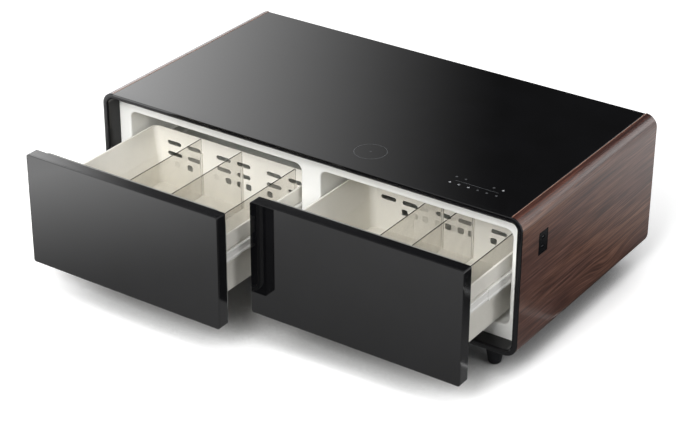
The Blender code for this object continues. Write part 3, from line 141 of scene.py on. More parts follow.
def add_node(tree: Tree, kind: str, inputs: dict | None = None, stops: Stops | None = None,
             **settings: object) -> Node:
    """Adds one node with its settings, values and links.

    Args:
        tree: The tree that gets the node.
        kind: The node's type name.
        inputs: Input names or indexes, each with a value or with the output that feeds it.
        stops: A colour ramp's positions and sRGB hex colours, in order.
        **settings: Attributes of the node.

    Returns:
        The new node.
    """
    node = tree.nodes.new(kind)
    for key, value in settings.items():
        setattr(node, key, value)
    feed(tree, node, inputs or {})
    if stops:
        elements = node.color_ramp.elements
        while len(elements) < len(stops):
            elements.new(0.5)
        for element, (position, colour) in zip(elements, stops):
            element.position, element.color = position, linear(colour)
    return node


class Surface:
    """A material on Object coordinates, while it is being made."""

    def __init__(self, name: str) -> None:
        """Starts the material.

        Args:
            name: The material's name.
        """
        self.made = bpy.data.materials.new(name)
        self.made.use_nodes = True
        self.tree = self.made.node_tree
        self.place = self.add("ShaderNodeTexCoord").outputs["Object"]

    def add(self, kind: str, inputs: dict | None = None, **settings: object) -> Node:
        """Adds a node to the material."""
        return add_node(self.tree, kind, inputs, **settings)

    def pattern(self, spacing_mm: float, stretch: Point = (1.0, 1.0, 1.0), detail: float = 3.0,
                place: Socket | None = None) -> Socket:
        """Adds a cloudy pattern whose features lie a real distance apart.

        Args:
            spacing_mm: The distance between features.
            stretch: Scale of the coordinates; a small one draws the pattern out on that axis.
            detail: Octaves of finer noise.
            place: Other coordinates for it to read.

        Returns:
            The pattern's factor.
        """
        source = self.place if place is None else place
        scaled = self.add("ShaderNodeMapping", {"Vector": source, "Scale": stretch})
        return self.add("ShaderNodeTexNoise", {
            "Vector": scaled.outputs["Vector"], "Scale": 1 / (spacing_mm * MM),
            "Detail": detail}).outputs["Fac"]

    def height(self, low: float, high: float) -> Socket:
        """Adds the share of the way up between two levels.

        Args:
            low: The level where it is zero.
            high: The level where it is one.

        Returns:
            The share.
        """
        level = self.add("ShaderNodeSeparateXYZ", {0: self.place}).outputs["Z"]
        return self.add("ShaderNodeMapRange", {"Value": level, "From Min": low,
                                               "From Max": high}).outputs["Result"]

    def graded(self, value: Socket, ends: tuple[float, float], levels: tuple[float, float],
               power: float = 1.0) -> Socket:
        """Maps a value to a level that stays within its ends.

        Args:
            value: The value to map.
            ends: The values where the change starts and stops.
            levels: The results at those two values.
            power: How late the change comes; one is even.

        Returns:
            The level.
        """
        share = self.add("ShaderNodeMapRange", {
            "Value": value, "From Min": ends[0], "From Max": ends[1]}).outputs["Result"]
        late = self.add("ShaderNodeMath", {0: share, 1: power}, operation="POWER").outputs[0]
        return self.add("ShaderNodeMapRange", {
            "Value": late, "To Min": levels[0], "To Max": levels[1]}).outputs["Result"]

    def done(self, inputs: dict) -> Material:
        """Feeds the Principled shader and gives the material."""
        feed(self.tree, self.tree.nodes["Principled BSDF"], inputs)
        return self.made

    def done_with(self, shader: Node) -> Material:
        """Puts another shader in the Principled one's place.

        Args:
            shader: The shader that the surface shows.

        Returns:
            The material.
        """
        self.tree.nodes.remove(self.tree.nodes["Principled BSDF"])
        self.tree.links.new(shader.outputs[0],
                            self.tree.nodes["Material Output"].inputs["Surface"])
        return self.made


# Finishes

@dataclass(frozen=True)
class GrainedFinish:
    """A moulded, painted, cast or rolled surface with fine grain.

    The grain is drawn coarser than the real one, a few tenths of a millimetre, so that it
    still shows at the size of a render.
    """

    name: str
    colour: str
    roughness: float
    metallic: float = 0.0
    contrast: float = 0.04
    grain_mm: float = 1.6
    relief_mm: float = 0.02
    streak: Point = (1.0, 1.0, 1.0)
    specular: float = 0.5
    cloud_mm: float = 70.0

    def material(self) -> Material:
        """Builds the material.

        Returns:
            The material.
        """
        made = Surface(self.name)
        cloud = made.pattern(self.cloud_mm, detail=2.0)
        grain = made.pattern(self.grain_mm, self.streak)
        both = made.add("ShaderNodeMath", {0: cloud, 1: grain, 2: 0.25}, operation="MULTIPLY_ADD")
        colour = made.add("ShaderNodeValToRGB", {"Fac": both.outputs[0]}, stops=[
            (0.35, shade_of(self.colour, 1 - self.contrast)),
            (0.65, shade_of(self.colour, 1 + self.contrast))])
        rough = made.add("ShaderNodeMapRange", {
            "Value": grain, **NOISE_SPAN, "To Min": self.roughness * 0.88,
            "To Max": self.roughness * 1.12})
        bump = made.add("ShaderNodeBump", {"Height": grain, "Strength": 0.3,
                                           "Distance": self.relief_mm * MM})
        return made.done({"Base Color": colour.outputs["Color"],
                          "Roughness": rough.outputs["Result"], "Metallic": self.metallic,
                          "Specular IOR Level": self.specular,
                          "Normal": bump.outputs["Normal"]})


@dataclass(frozen=True)
class LacqueredWalnut:
    """Dark walnut veneer, sliced so that its grain runs along the depth, under satin lacquer.

    The eye gets fine brown lines, broad patches that are browner or more purple, one curl of
    grain low on each side, and a soft broad sheen. The top of the rounding beside the glass is
    painted darker and redder, as shade. The lines are drawn coarser than real pores, so that
    they show at the size of a render.
    """

    name: str = "walnut_veneer_satin_lacquer"
    line_mm: float = 3.0
    streak_mm: float = 10.0
    patch_mm: float = 120.0
    sway_mm: float = 8.0
    lift_mm: float = 10.0
    curl_centre_mm: tuple[float, float] = (280.0, 118.0)
    curl_reach_mm: tuple[float, float] = (80.0, 17.0)
    curl_rise_mm: float = 26.0
    # Between these heights the veneer is painted darker and redder, as shade on the top of the
    # rounding.
    dark_from_mm: float = 420.0
    dark_to_mm: float = 449.0

    def curl(self, made: Surface) -> Socket:
        """Adds the height by which the curl lifts the grain.

        Args:
            made: The material that gets the nodes.

        Returns:
            The lift in metres.
        """
        (y, z), (wide, high) = self.curl_centre_mm, self.curl_reach_mm
        near = made.add("ShaderNodeMapping", {
            "Vector": made.place, "Location": (0, -y / wide, -z / high),
            "Scale": (0, 1 / (wide * MM), 1 / (high * MM))}).outputs["Vector"]
        square = made.add("ShaderNodeVectorMath", {0: near, 1: near}, operation="DOT_PRODUCT")
        half = made.add("ShaderNodeMath", {0: square.outputs["Value"], 1: -0.5},
                        operation="MULTIPLY")
        bell = made.add("ShaderNodeMath", {0: half.outputs[0]}, operation="EXPONENT")
        return made.add("ShaderNodeMath", {0: bell.outputs[0], 1: self.curl_rise_mm * MM},
                        operation="MULTIPLY").outputs[0]

    def bent_grain(self, made: Surface, patch: Socket) -> Socket:
        """Adds coordinates that sway with the patches and rise round the curl.

        Args:
            made: The material that gets the nodes.
            patch: The pattern of the patches.

        Returns:
            The coordinates.
        """
        sway, lift = (made.add("ShaderNodeMapRange", {
            "Value": patch, **NOISE_SPAN, "To Max": reach * MM}).outputs["Result"]
            for reach in (self.sway_mm, self.lift_mm))
        rise = made.add("ShaderNodeMath", {0: lift, 1: self.curl(made)}, operation="ADD")
        shift = made.add("ShaderNodeCombineXYZ", {"X": sway, "Z": rise.outputs[0]})
        return made.add("ShaderNodeVectorMath", {0: made.place, 1: shift.outputs[0]},
                        operation="ADD").outputs[0]

    def material(self) -> Material:
        """Builds the material.

        Returns:
            The material.
        """
        made = Surface(self.name)
        patch = made.pattern(self.patch_mm, (1.0, 0.22, 1.0), 2.0)
        grain = self.bent_grain(made, patch)
        lines = made.pattern(self.line_mm, (1.0, 0.02, 1.0), 3.0, grain)
        streaks = made.pattern(self.streak_mm, (1.0, 0.03, 1.0), 2.0, grain)
        # Painted shade: the tone darkens and reddens towards the top of the rounding beside the
        # glass.
        rim = made.height(self.dark_from_mm * MM, self.dark_to_mm * MM)
        tone = made.add("ShaderNodeValToRGB", {"Fac": patch},
                        stops=[(0.36, "6E4D43"), (0.64, "896350")]).outputs["Color"]
        for factor, stops in (
                (streaks, [(0.34, "C9BDB9"), (0.62, "FFFFFF")]),
                (lines, [(0.36, "93847E"), (0.48, "CCC0BA"), (0.62, "FFFFFF")]),
                (rim, [(0.0, "FFFFFF"), (0.6, "BCAEAC"), (1.0, "AC8A84")])):
            shade = made.add("ShaderNodeValToRGB", {"Fac": factor}, stops=stops)
            tone = made.add("ShaderNodeMix", {0: 1.0, 6: tone, 7: shade.outputs["Color"]},
                            data_type="RGBA", blend_type="MULTIPLY").outputs[2]
        rough = made.add("ShaderNodeMapRange", {"Value": lines, **NOISE_SPAN, "To Min": 0.46,
                                                "To Max": 0.54})
        bump = made.add("ShaderNodeBump", {"Height": lines, "Strength": 0.25,
                                           "Distance": 0.05 * MM})
        return made.done({"Base Color": tone, "Roughness": rough.outputs["Result"],
                          "Specular IOR Level": 0.35, "Coat Weight": 0.8,
                          "Coat Roughness": 0.24, "Normal": bump.outputs["Normal"]})


@dataclass(frozen=True)
class BackPaintedGlass:
    """Float glass painted black behind, polished in front: a dark mirror with faint haze."""

    name: str = "back_painted_float_glass"
    colour: str = "0A0A0B"
    roughness: float = 0.035
    haze_mm: float = 110.0

    def material(self) -> Material:
        """Builds the material.

        Returns:
            The material.
        """
        made = Surface(self.name)
        haze = made.pattern(self.haze_mm, detail=4.0)
        colour = made.add("ShaderNodeValToRGB", {"Fac": haze}, stops=[
            (0.3, shade_of(self.colour, 0.85)), (0.7, shade_of(self.colour, 1.25))])
        rough = made.add("ShaderNodeMapRange", {
            "Value": haze, **NOISE_SPAN, "To Min": self.roughness * 0.7,
            "To Max": self.roughness * 1.3})
        return made.done({"Base Color": colour.outputs["Color"],
                          "Roughness": rough.outputs["Result"], "IOR": 1.52})


@dataclass(frozen=True)
class ClearSheet:
    """Clear acrylic sheet with a faint smoke tint, polished, whose top edge is painted dark as
    shade.
    """

    name: str = "clear_acrylic_smoke_tint"
    colour: str = "E4E2DE"
    edge_colour: str = "30302F"
    edge_mm: float = 0.9
    haze_mm: float = 40.0

    def material(self) -> Material:
        """Builds the material.

        Returns:
            The material.
        """
        made = Surface(self.name)
        haze = made.pattern(self.haze_mm, detail=2.0)
        clear = made.add("ShaderNodeValToRGB", {"Fac": haze}, stops=[
            (0.3, shade_of(self.colour, 0.97)), (0.7, self.colour)])
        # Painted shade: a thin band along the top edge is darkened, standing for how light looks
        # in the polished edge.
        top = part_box("left_divider_1")[1][2]
        rise = made.height(top - self.edge_mm * MM, top - self.edge_mm * MM / 2)
        tint = made.add("ShaderNodeValToRGB", {"Fac": rise},
                        stops=[(0.0, "FFFFFF"), (1.0, self.edge_colour)])
        both = made.add("ShaderNodeMix", {
            0: 1.0, 6: clear.outputs["Color"], 7: tint.outputs["Color"]}, data_type="RGBA",
            blend_type="MULTIPLY")
        rough = made.add("ShaderNodeMapRange", {"Value": haze, **NOISE_SPAN, "To Min": 0.02,
                                                "To Max": 0.05})
        return made.done({"Base Color": both.outputs[2], "Roughness": rough.outputs["Result"],
                          "IOR": 1.49, "Transmission Weight": 1.0})


Finish = GrainedFinish | LacqueredWalnut | BackPaintedGlass | ClearSheet


class Finishes:
    """Every finish on the table, each made once."""

    WALNUT = LacqueredWalnut()
    GLASS = BackPaintedGlass()
    CLEAR = ClearSheet()
    # Gloss moulding: near black, with crisp reflections.
    BLACK_ABS = GrainedFinish("black_abs_gloss_moulded", "0F0F11", 0.12, contrast=0.08)
    # Satin moulding: a deeper black than the glass, with a narrow dull sheen.
    BLACK_TRIM = GrainedFinish("black_abs_front_frame_moulded", "101012", 0.2, contrast=0.08,
                               specular=0.28)
    # Vacuum-formed sheet: clean white, with a soft broad sheen.
    WHITE_ABS = GrainedFinish("white_abs_vacuum_formed", "F7F7F3", 0.36, contrast=0.012,
                              relief_mm=0.01)
    # Moulded polystyrene: a warmer white, a little glossy.
    WARM_WHITE = GrainedFinish("warm_white_polystyrene_moulded", "E7E4DB", 0.34,
                               contrast=0.015, relief_mm=0.01)
    # Soft extruded vinyl: matt grey.
    SEAL = GrainedFinish("grey_pvc_magnetic_seal", "8D8D8A", 0.62, contrast=0.05, grain_mm=2.4)
    # Moulded rubber: matt black, faintly mottled.
    RUBBER = GrainedFinish("black_rubber_moulded", "0E0E11", 0.55, contrast=0.1, grain_mm=1.8,
                           relief_mm=0.04, specular=0.2)
    # Skin of foam that rose in a mould: pale yellow, dull and pitted.
    FOAM = GrainedFinish("polyurethane_foam_skin", "E6DBA8", 0.9, contrast=0.1, grain_mm=3.5,
                         relief_mm=0.4)
    # Hot-dipped sheet: cool grey metal with broad spangles.
    ZINC = GrainedFinish("zinc_coated_sheet_spangled", "AEB2B5", 0.38, 1.0, contrast=0.12,
                         grain_mm=9.0, relief_mm=0.01)
    # Powder coats, white and black: even colour, with fine orange peel.
    WHITE_STEEL = GrainedFinish("powder_coated_steel_white", "EDECE8", 0.42, contrast=0.02,
                                grain_mm=1.2, relief_mm=0.03)
    BLACK_STEEL = GrainedFinish("powder_coated_steel_black", "1A1B1D", 0.5, contrast=0.1,
                                grain_mm=1.2, relief_mm=0.04)
    # Rolled strip: bright metal with fine upright lines.
    ALUMINIUM = GrainedFinish("aluminium_fin_stock_rolled", "C6CACC", 0.34, 1.0, contrast=0.05,
                              streak=(1.0, 1.0, 0.05))
    # Drawn tube: warm metal with lines along it.
    COPPER = GrainedFinish("copper_drawn", "B87350", 0.3, 1.0, contrast=0.12, grain_mm=3.0,
                           streak=(0.1, 1.0, 1.0))
    # Screen-printed mask: green, half glossy and slightly cloudy.
    BOARD = GrainedFinish("circuit_board_solder_mask", "1F5A36", 0.4, contrast=0.22,
                          grain_mm=4.0, relief_mm=0.05)
    # Raw pressed fibres: brown, matt and speckled.
    FIBREBOARD = GrainedFinish("fibreboard_raw_pressed", "8A7458", 0.8, contrast=0.12,
                               grain_mm=2.0, relief_mm=0.05)
    # Veneer edge band: a strip painted paler than the shell, as a highlight line along the glass,
    # with lines along it.
    EDGE_BAND = GrainedFinish("walnut_edge_band_planed", "8E6A5A", 0.4, contrast=0.12,
                              streak=(1.0, 0.04, 1.0))
    # Fired ink, bright and dim: even grey with a low sheen.
    INK = GrainedFinish("printed_ceramic_ink_grey", "B9BBBE", 0.35, contrast=0.05)
    INK_DIM = GrainedFinish("printed_ceramic_ink_dim", "5C5E61", 0.35, contrast=0.05)
    # Turned and plated steel: bright grey metal.
    SCREW = GrainedFinish("zinc_plated_screw_turned", "B4B7B9", 0.3, 1.0, contrast=0.1)

    _made: dict[str, Material] = {}

    @classmethod
    def material(cls, finish: Finish) -> Material:
        """Gives the material of a finish, and makes it the first time.

        Args:
            finish: One of the finishes above.

        Returns:
            The material.
        """
        if finish.name not in cls._made:
            cls._made[finish.name] = finish.material()
        return cls._made[finish.name]


# Shapes

def arc(u: float, v: float, radius: float, start: float, end: float, steps: int) -> Outline:
    """Points along an arc, both ends included.

    Args:
        u: The centre's first coordinate.
        v: The centre's second coordinate.
        radius: The arc's radius.
        start: The first angle in radians.
        end: The last angle in radians.
        steps: The number of chords.

    Returns:
        The points in order.
    """
    angles = [start + (end - start) * i / steps for i in range(steps + 1)]
    return [(u + radius * math.cos(a), v + radius * math.sin(a)) for a in angles]


def circle(u: float, v: float, radius: float, steps: int) -> Outline:
    """Outline of a circle, without its closing point."""
    return arc(u, v, radius, 0.0, 2 * math.pi, steps)[:-1]


def rounded_outline(low: Corner, high: Corner, radius: float, steps: int,
                    inset: float = 0.0) -> Outline:
    """Outline of a rectangle with round corners.

    Args:
        low: The lowest corner.
        high: The highest corner.
        radius: The corners' radius.
        steps: Chords in each corner.
        inset: How far its sides are drawn in.

    Returns:
        The points, counter-clockwise.
    """
    left, lower = (value + inset + radius for value in low)
    right, upper = (value - inset - radius for value in high)
    centres = ((right, upper), (left, upper), (left, lower), (right, lower))
    points: Outline = []
    for i, (u, v) in enumerate(centres):
        points += arc(u, v, radius, i * QUARTER, (i + 1) * QUARTER, steps)
    return points


def soften(path: list[tuple[float, ...]], reach: float, steps: int = 3,
           closed: bool = False) -> list[tuple[float, ...]]:
    """Rounds the corners of a path.

    Args:
        path: Its corners.
        reach: How far from a corner its curve starts.
        steps: Chords in each curve.
        closed: Whether the last corner joins the first.

    Returns:
        The path with its corners rounded.
    """
    most = 0.45
    result = []
    for i, corner in enumerate(path):
        if not closed and i in (0, len(path) - 1):
            result.append(tuple(corner))
            continue
        here, before = Vector(corner), Vector(path[i - 1])
        after = Vector(path[(i + 1) % len(path)])
        near = min(reach, (here - before).length * most, (after - here).length * most)
        start = here + (before - here).normalized() * near
        end = here + (after - here).normalized() * near
        for k in range(steps + 1):
            t = k / steps
            result.append(tuple(start * (1 - t) ** 2 + here * 2 * t * (1 - t) + end * t * t))
    return result


def placed(name: str, data: bpy.types.ID) -> Piece:
    """Puts data into the scene as an object.

    Args:
        name: The object's name.
        data: Its mesh, curve, lamp or camera.

    Returns:
        The object.
    """
    made = bpy.data.objects.new(name, data)
    bpy.context.scene.collection.objects.link(made)
    return made


def object_from(work: bmesh.types.BMesh, name: str) -> Piece:
    """Turns a bmesh into an object in the scene.

    Args:
        work: The bmesh, which is freed.
        name: The object's name.

    Returns:
        The object.
    """
    bmesh.ops.remove_doubles(work, verts=work.verts, dist=WELD)
    bmesh.ops.recalc_face_normals(work, faces=work.faces)
    mesh = bpy.data.meshes.new(name)
    work.to_mesh(mesh)
    work.free()
    return placed(name, mesh)


def evaluated_mesh(item: Piece) -> bpy.types.Mesh:
    """A plain mesh of an object as its modifiers leave it."""
    depsgraph = bpy.context.evaluated_depsgraph_get()
    return bpy.data.meshes.new_from_object(item.evaluated_get(depsgraph))


def settle(piece: Piece, helpers: list[Piece] | None = None) -> Piece:
    """Applies a piece's modifiers and removes its helpers.

    Args:
        piece: The object.
        helpers: Objects that its modifiers used.

    Returns:
        The object, with a plain mesh.
    """
    mesh = evaluated_mesh(piece)
    piece.modifiers.clear()
    piece.data = mesh
    for helper in helpers or []:
        bpy.data.objects.remove(helper, do_unlink=True)
    return piece


def flat_solid(name: str, outlines: list[Outline], axis: Axis, start: float,
               end: float) -> Piece:
    """Extrudes flat outlines between two places on an axis.

    Args:
        name: The object's name.
        outlines: The outlines; one inside another is a hole.
        axis: The axis of the extrusion.
        start: Its lower end.
        end: Its upper end.

    Returns:
        The solid, with its place in its mesh.
    """
    curve = bpy.data.curves.new(name, "CURVE")
    curve.dimensions = "2D"
    curve.fill_mode = "BOTH"
    curve.extrude = (end - start) / 2
    for outline in outlines:
        spline = curve.splines.new("POLY")
        spline.points.add(len(outline) - 1)
        for point, (u, v) in zip(spline.points, outline):
            point.co = (u, v, 0, 1)
        spline.use_cyclic_u = True
    holder = placed(name + "_curve", curve)
    work = bmesh.new()
    work.from_mesh(evaluated_mesh(holder))
    bpy.data.objects.remove(holder, do_unlink=True)
    shift = Vector((0, 0, 0))
    shift["XYZ".index(axis.name)] = (start + end) / 2
    bmesh.ops.transform(work, verts=work.verts, matrix=Matrix.Translation(shift) @ axis.value)
    return object_from(work, name)


def block(name: str, low: Point, high: Point) -> Piece:
    """A box between two corners."""
    corners = [(low[0], low[1]), (high[0], low[1]), (high[0], high[1]), (low[0], high[1])]
    return flat_solid(name, [corners], Axis.Z, low[2], high[2])


def loft(name: str, rings: list[Ring], closed: bool = False) -> Piece:
    """Joins rings of points into a skin.

    Args:
        name: The object's name.
        rings: Rings with the same number of points.
        closed: Whether the last ring joins the first; otherwise both get a cap.

    Returns:
        The closed solid.
    """
    work = bmesh.new()
    rows = [[work.verts.new(point) for point in ring] for ring in rings]
    pairs = list(zip(rows, rows[1:]))
    if closed:
        pairs.append((rows[-1], rows[0]))
    else:
        work.faces.new(rows[0])
        work.faces.new(list(reversed(rows[-1])))
    for low, high in pairs:
        for i in range(len(low)):
            k = (i + 1) % len(low)
            work.faces.new((low[i], low[k], high[k], high[i]))
    return object_from(work, name)


def turned(name: str, x: float, y: float, profile: Outline, steps: int) -> Piece:
    """Turns a profile about an upright axis.

    Args:
        name: The object's name.
        x: The axis's place on X.
        y: Its place on Y.
        profile: Radii, each with its height.
        steps: How many sides it has.

    Returns:
        The closed solid.
    """
    return loft(name, [[Vector((u, v, z)) for u, v in circle(x, y, radius, steps)]
                       for radius, z in profile])


def carve(piece: Piece, tools: list[Piece], operation: str = "DIFFERENCE") -> Piece:
    """Cuts or joins tools with a piece.

    Args:
        piece: The object that stays.
        tools: Closed solids, which are used up.
        operation: DIFFERENCE or UNION.

    Returns:
        The piece.
    """
    for tool in tools:
        step = piece.modifiers.new("carve", "BOOLEAN")
        step.operation = operation
        step.solver = "EXACT"
        step.object = tool
    return settle(piece, tools)


def ease(piece: Piece, width: float) -> Piece:
    """Bevels a piece's edges.

    Args:
        piece: The object.
        width: The bevel's width.

    Returns:
        The object.
    """
    edge = piece.modifiers.new("eased_edges", "BEVEL")
    edge.width, edge.segments, edge.limit_method = width, 2, "ANGLE"
    return settle(piece)


def merge(name: str, parts: list[Piece]) -> Piece:
    """Puts several solids into one object.

    Args:
        name: The object's name.
        parts: The solids, which are used up.

    Returns:
        The object.
    """
    work = bmesh.new()
    for part in parts:
        work.from_mesh(part.data)
        bpy.data.objects.remove(part, do_unlink=True)
    return object_from(work, name)


def finish_piece(piece: Piece, finish: Finish, body: Body, slot: str, *replaced: str) -> None:
    """Gives a piece its shading, material and body.

    Args:
        piece: The piece, with its place in its mesh.
        finish: Its finish.
        body: The body that it rides on.
        slot: The record's material slot; not used.
        *replaced: The nodes that it stands for.
    """
    piece.data.shade_smooth()
    piece.data.set_sharp_from_angle(angle=math.radians(SHARP_DEG))
    even = piece.modifiers.new("even_normals", "WEIGHTED_NORMAL")
    even.keep_sharp = True
    settle(piece)
    piece.data.materials.clear()
    piece.data.materials.append(Finishes.material(finish))
    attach(piece, body.value)
    if replaced:
        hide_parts(*replaced)
    log.info("%s: %d faces, %s", piece.name, len(piece.data.polygons), finish.name)


def dress(finish: Finish, *nodes: str) -> None:
    """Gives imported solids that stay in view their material.

    Args:
        finish: Their finish.
        *nodes: Their names.
    """
    for node in nodes:
        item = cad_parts[node]
        item.data.materials.clear()
        item.data.materials.append(Finishes.material(finish))
        log.info("%s: packed solid, %s", node, finish.name)


# Repeats

class GridRepeat:
    """A Geometry Nodes tree that sets one item out in rows and columns."""

    def __init__(self) -> None:
        """Builds the tree once."""
        self.tree = bpy.data.node_groups.new("grid_repeat", "GeometryNodeTree")
        face = self.tree.interface
        for name, kind in (("Item", "Object"), ("Columns", "Int"), ("Rows", "Int"),
                           ("Column Pitch", "Float"), ("Row Pitch", "Float"),
                           ("Finish", "Material")):
            face.new_socket(name=name, in_out="INPUT", socket_type="NodeSocket" + kind)
        face.new_socket(name="Geometry", in_out="OUTPUT", socket_type="NodeSocketGeometry")
        given = add_node(self.tree, "NodeGroupInput").outputs
        grid = add_node(self.tree, "GeometryNodeMeshGrid", {
            "Vertices X": given["Columns"], "Vertices Y": given["Rows"],
            "Size X": self.span(given["Columns"], given["Column Pitch"]),
            "Size Y": self.span(given["Rows"], given["Row Pitch"])})
        item = add_node(self.tree, "GeometryNodeObjectInfo", {"Object": given["Item"]})
        copies = add_node(self.tree, "GeometryNodeInstanceOnPoints", {
            "Points": grid.outputs["Mesh"], "Instance": item.outputs["Geometry"]})
        real = add_node(self.tree, "GeometryNodeRealizeInstances",
                        {"Geometry": copies.outputs["Instances"]})
        done = add_node(self.tree, "GeometryNodeSetMaterial", {
            "Geometry": real.outputs["Geometry"], "Material": given["Finish"]})
        add_node(self.tree, "NodeGroupOutput", {"Geometry": done.outputs["Geometry"]})

    def span(self, count: Socket, pitch: Socket) -> Socket:
        """Adds the distance from the first of a row to its last.

        Args:
            count: How many are in the row.
            pitch: The distance between two of them.

        Returns:
            The distance.
        """
        less = add_node(self.tree, "ShaderNodeMath", {0: count, 1: 1.0}, operation="SUBTRACT")
        return add_node(self.tree, "ShaderNodeMath", {0: less.outputs[0], 1: pitch},
                        operation="MULTIPLY").outputs[0]

    def make(self, name: str, item: Piece, counts: tuple[int, int],
             pitches: tuple[float, float], axis: Axis, centre: Point, finish: Finish) -> Piece:
        """Repeats an item on a grid that faces along an axis.

        Args:
            name: The new object's name.
            item: The item, modelled flat about its own origin; it is used up.
            counts: How many in a row, and how many rows.
            pitches: The distances between columns and between rows.
            axis: The axis that the grid's normal takes.
            centre: The grid's centre.
            finish: The finish of the copies.

        Returns:
            One plain mesh object, with its place in its mesh.
        """
        made = placed(name, bpy.data.meshes.new(name))
        step = made.modifiers.new("repeat", "NODES")
        step.node_group = self.tree
        values = {"Item": item, "Columns": counts[0], "Rows": counts[1],
                  "Column Pitch": pitches[0], "Row Pitch": pitches[1],
                  "Finish": Finishes.material(finish)}
        for socket in self.tree.interface.items_tree:
            if socket.in_out == "INPUT":
                step[socket.identifier] = values[socket.name]
        settle(made, [item])
        made.data.transform(Matrix.Translation(centre) @ axis.value)
        return made


# Case

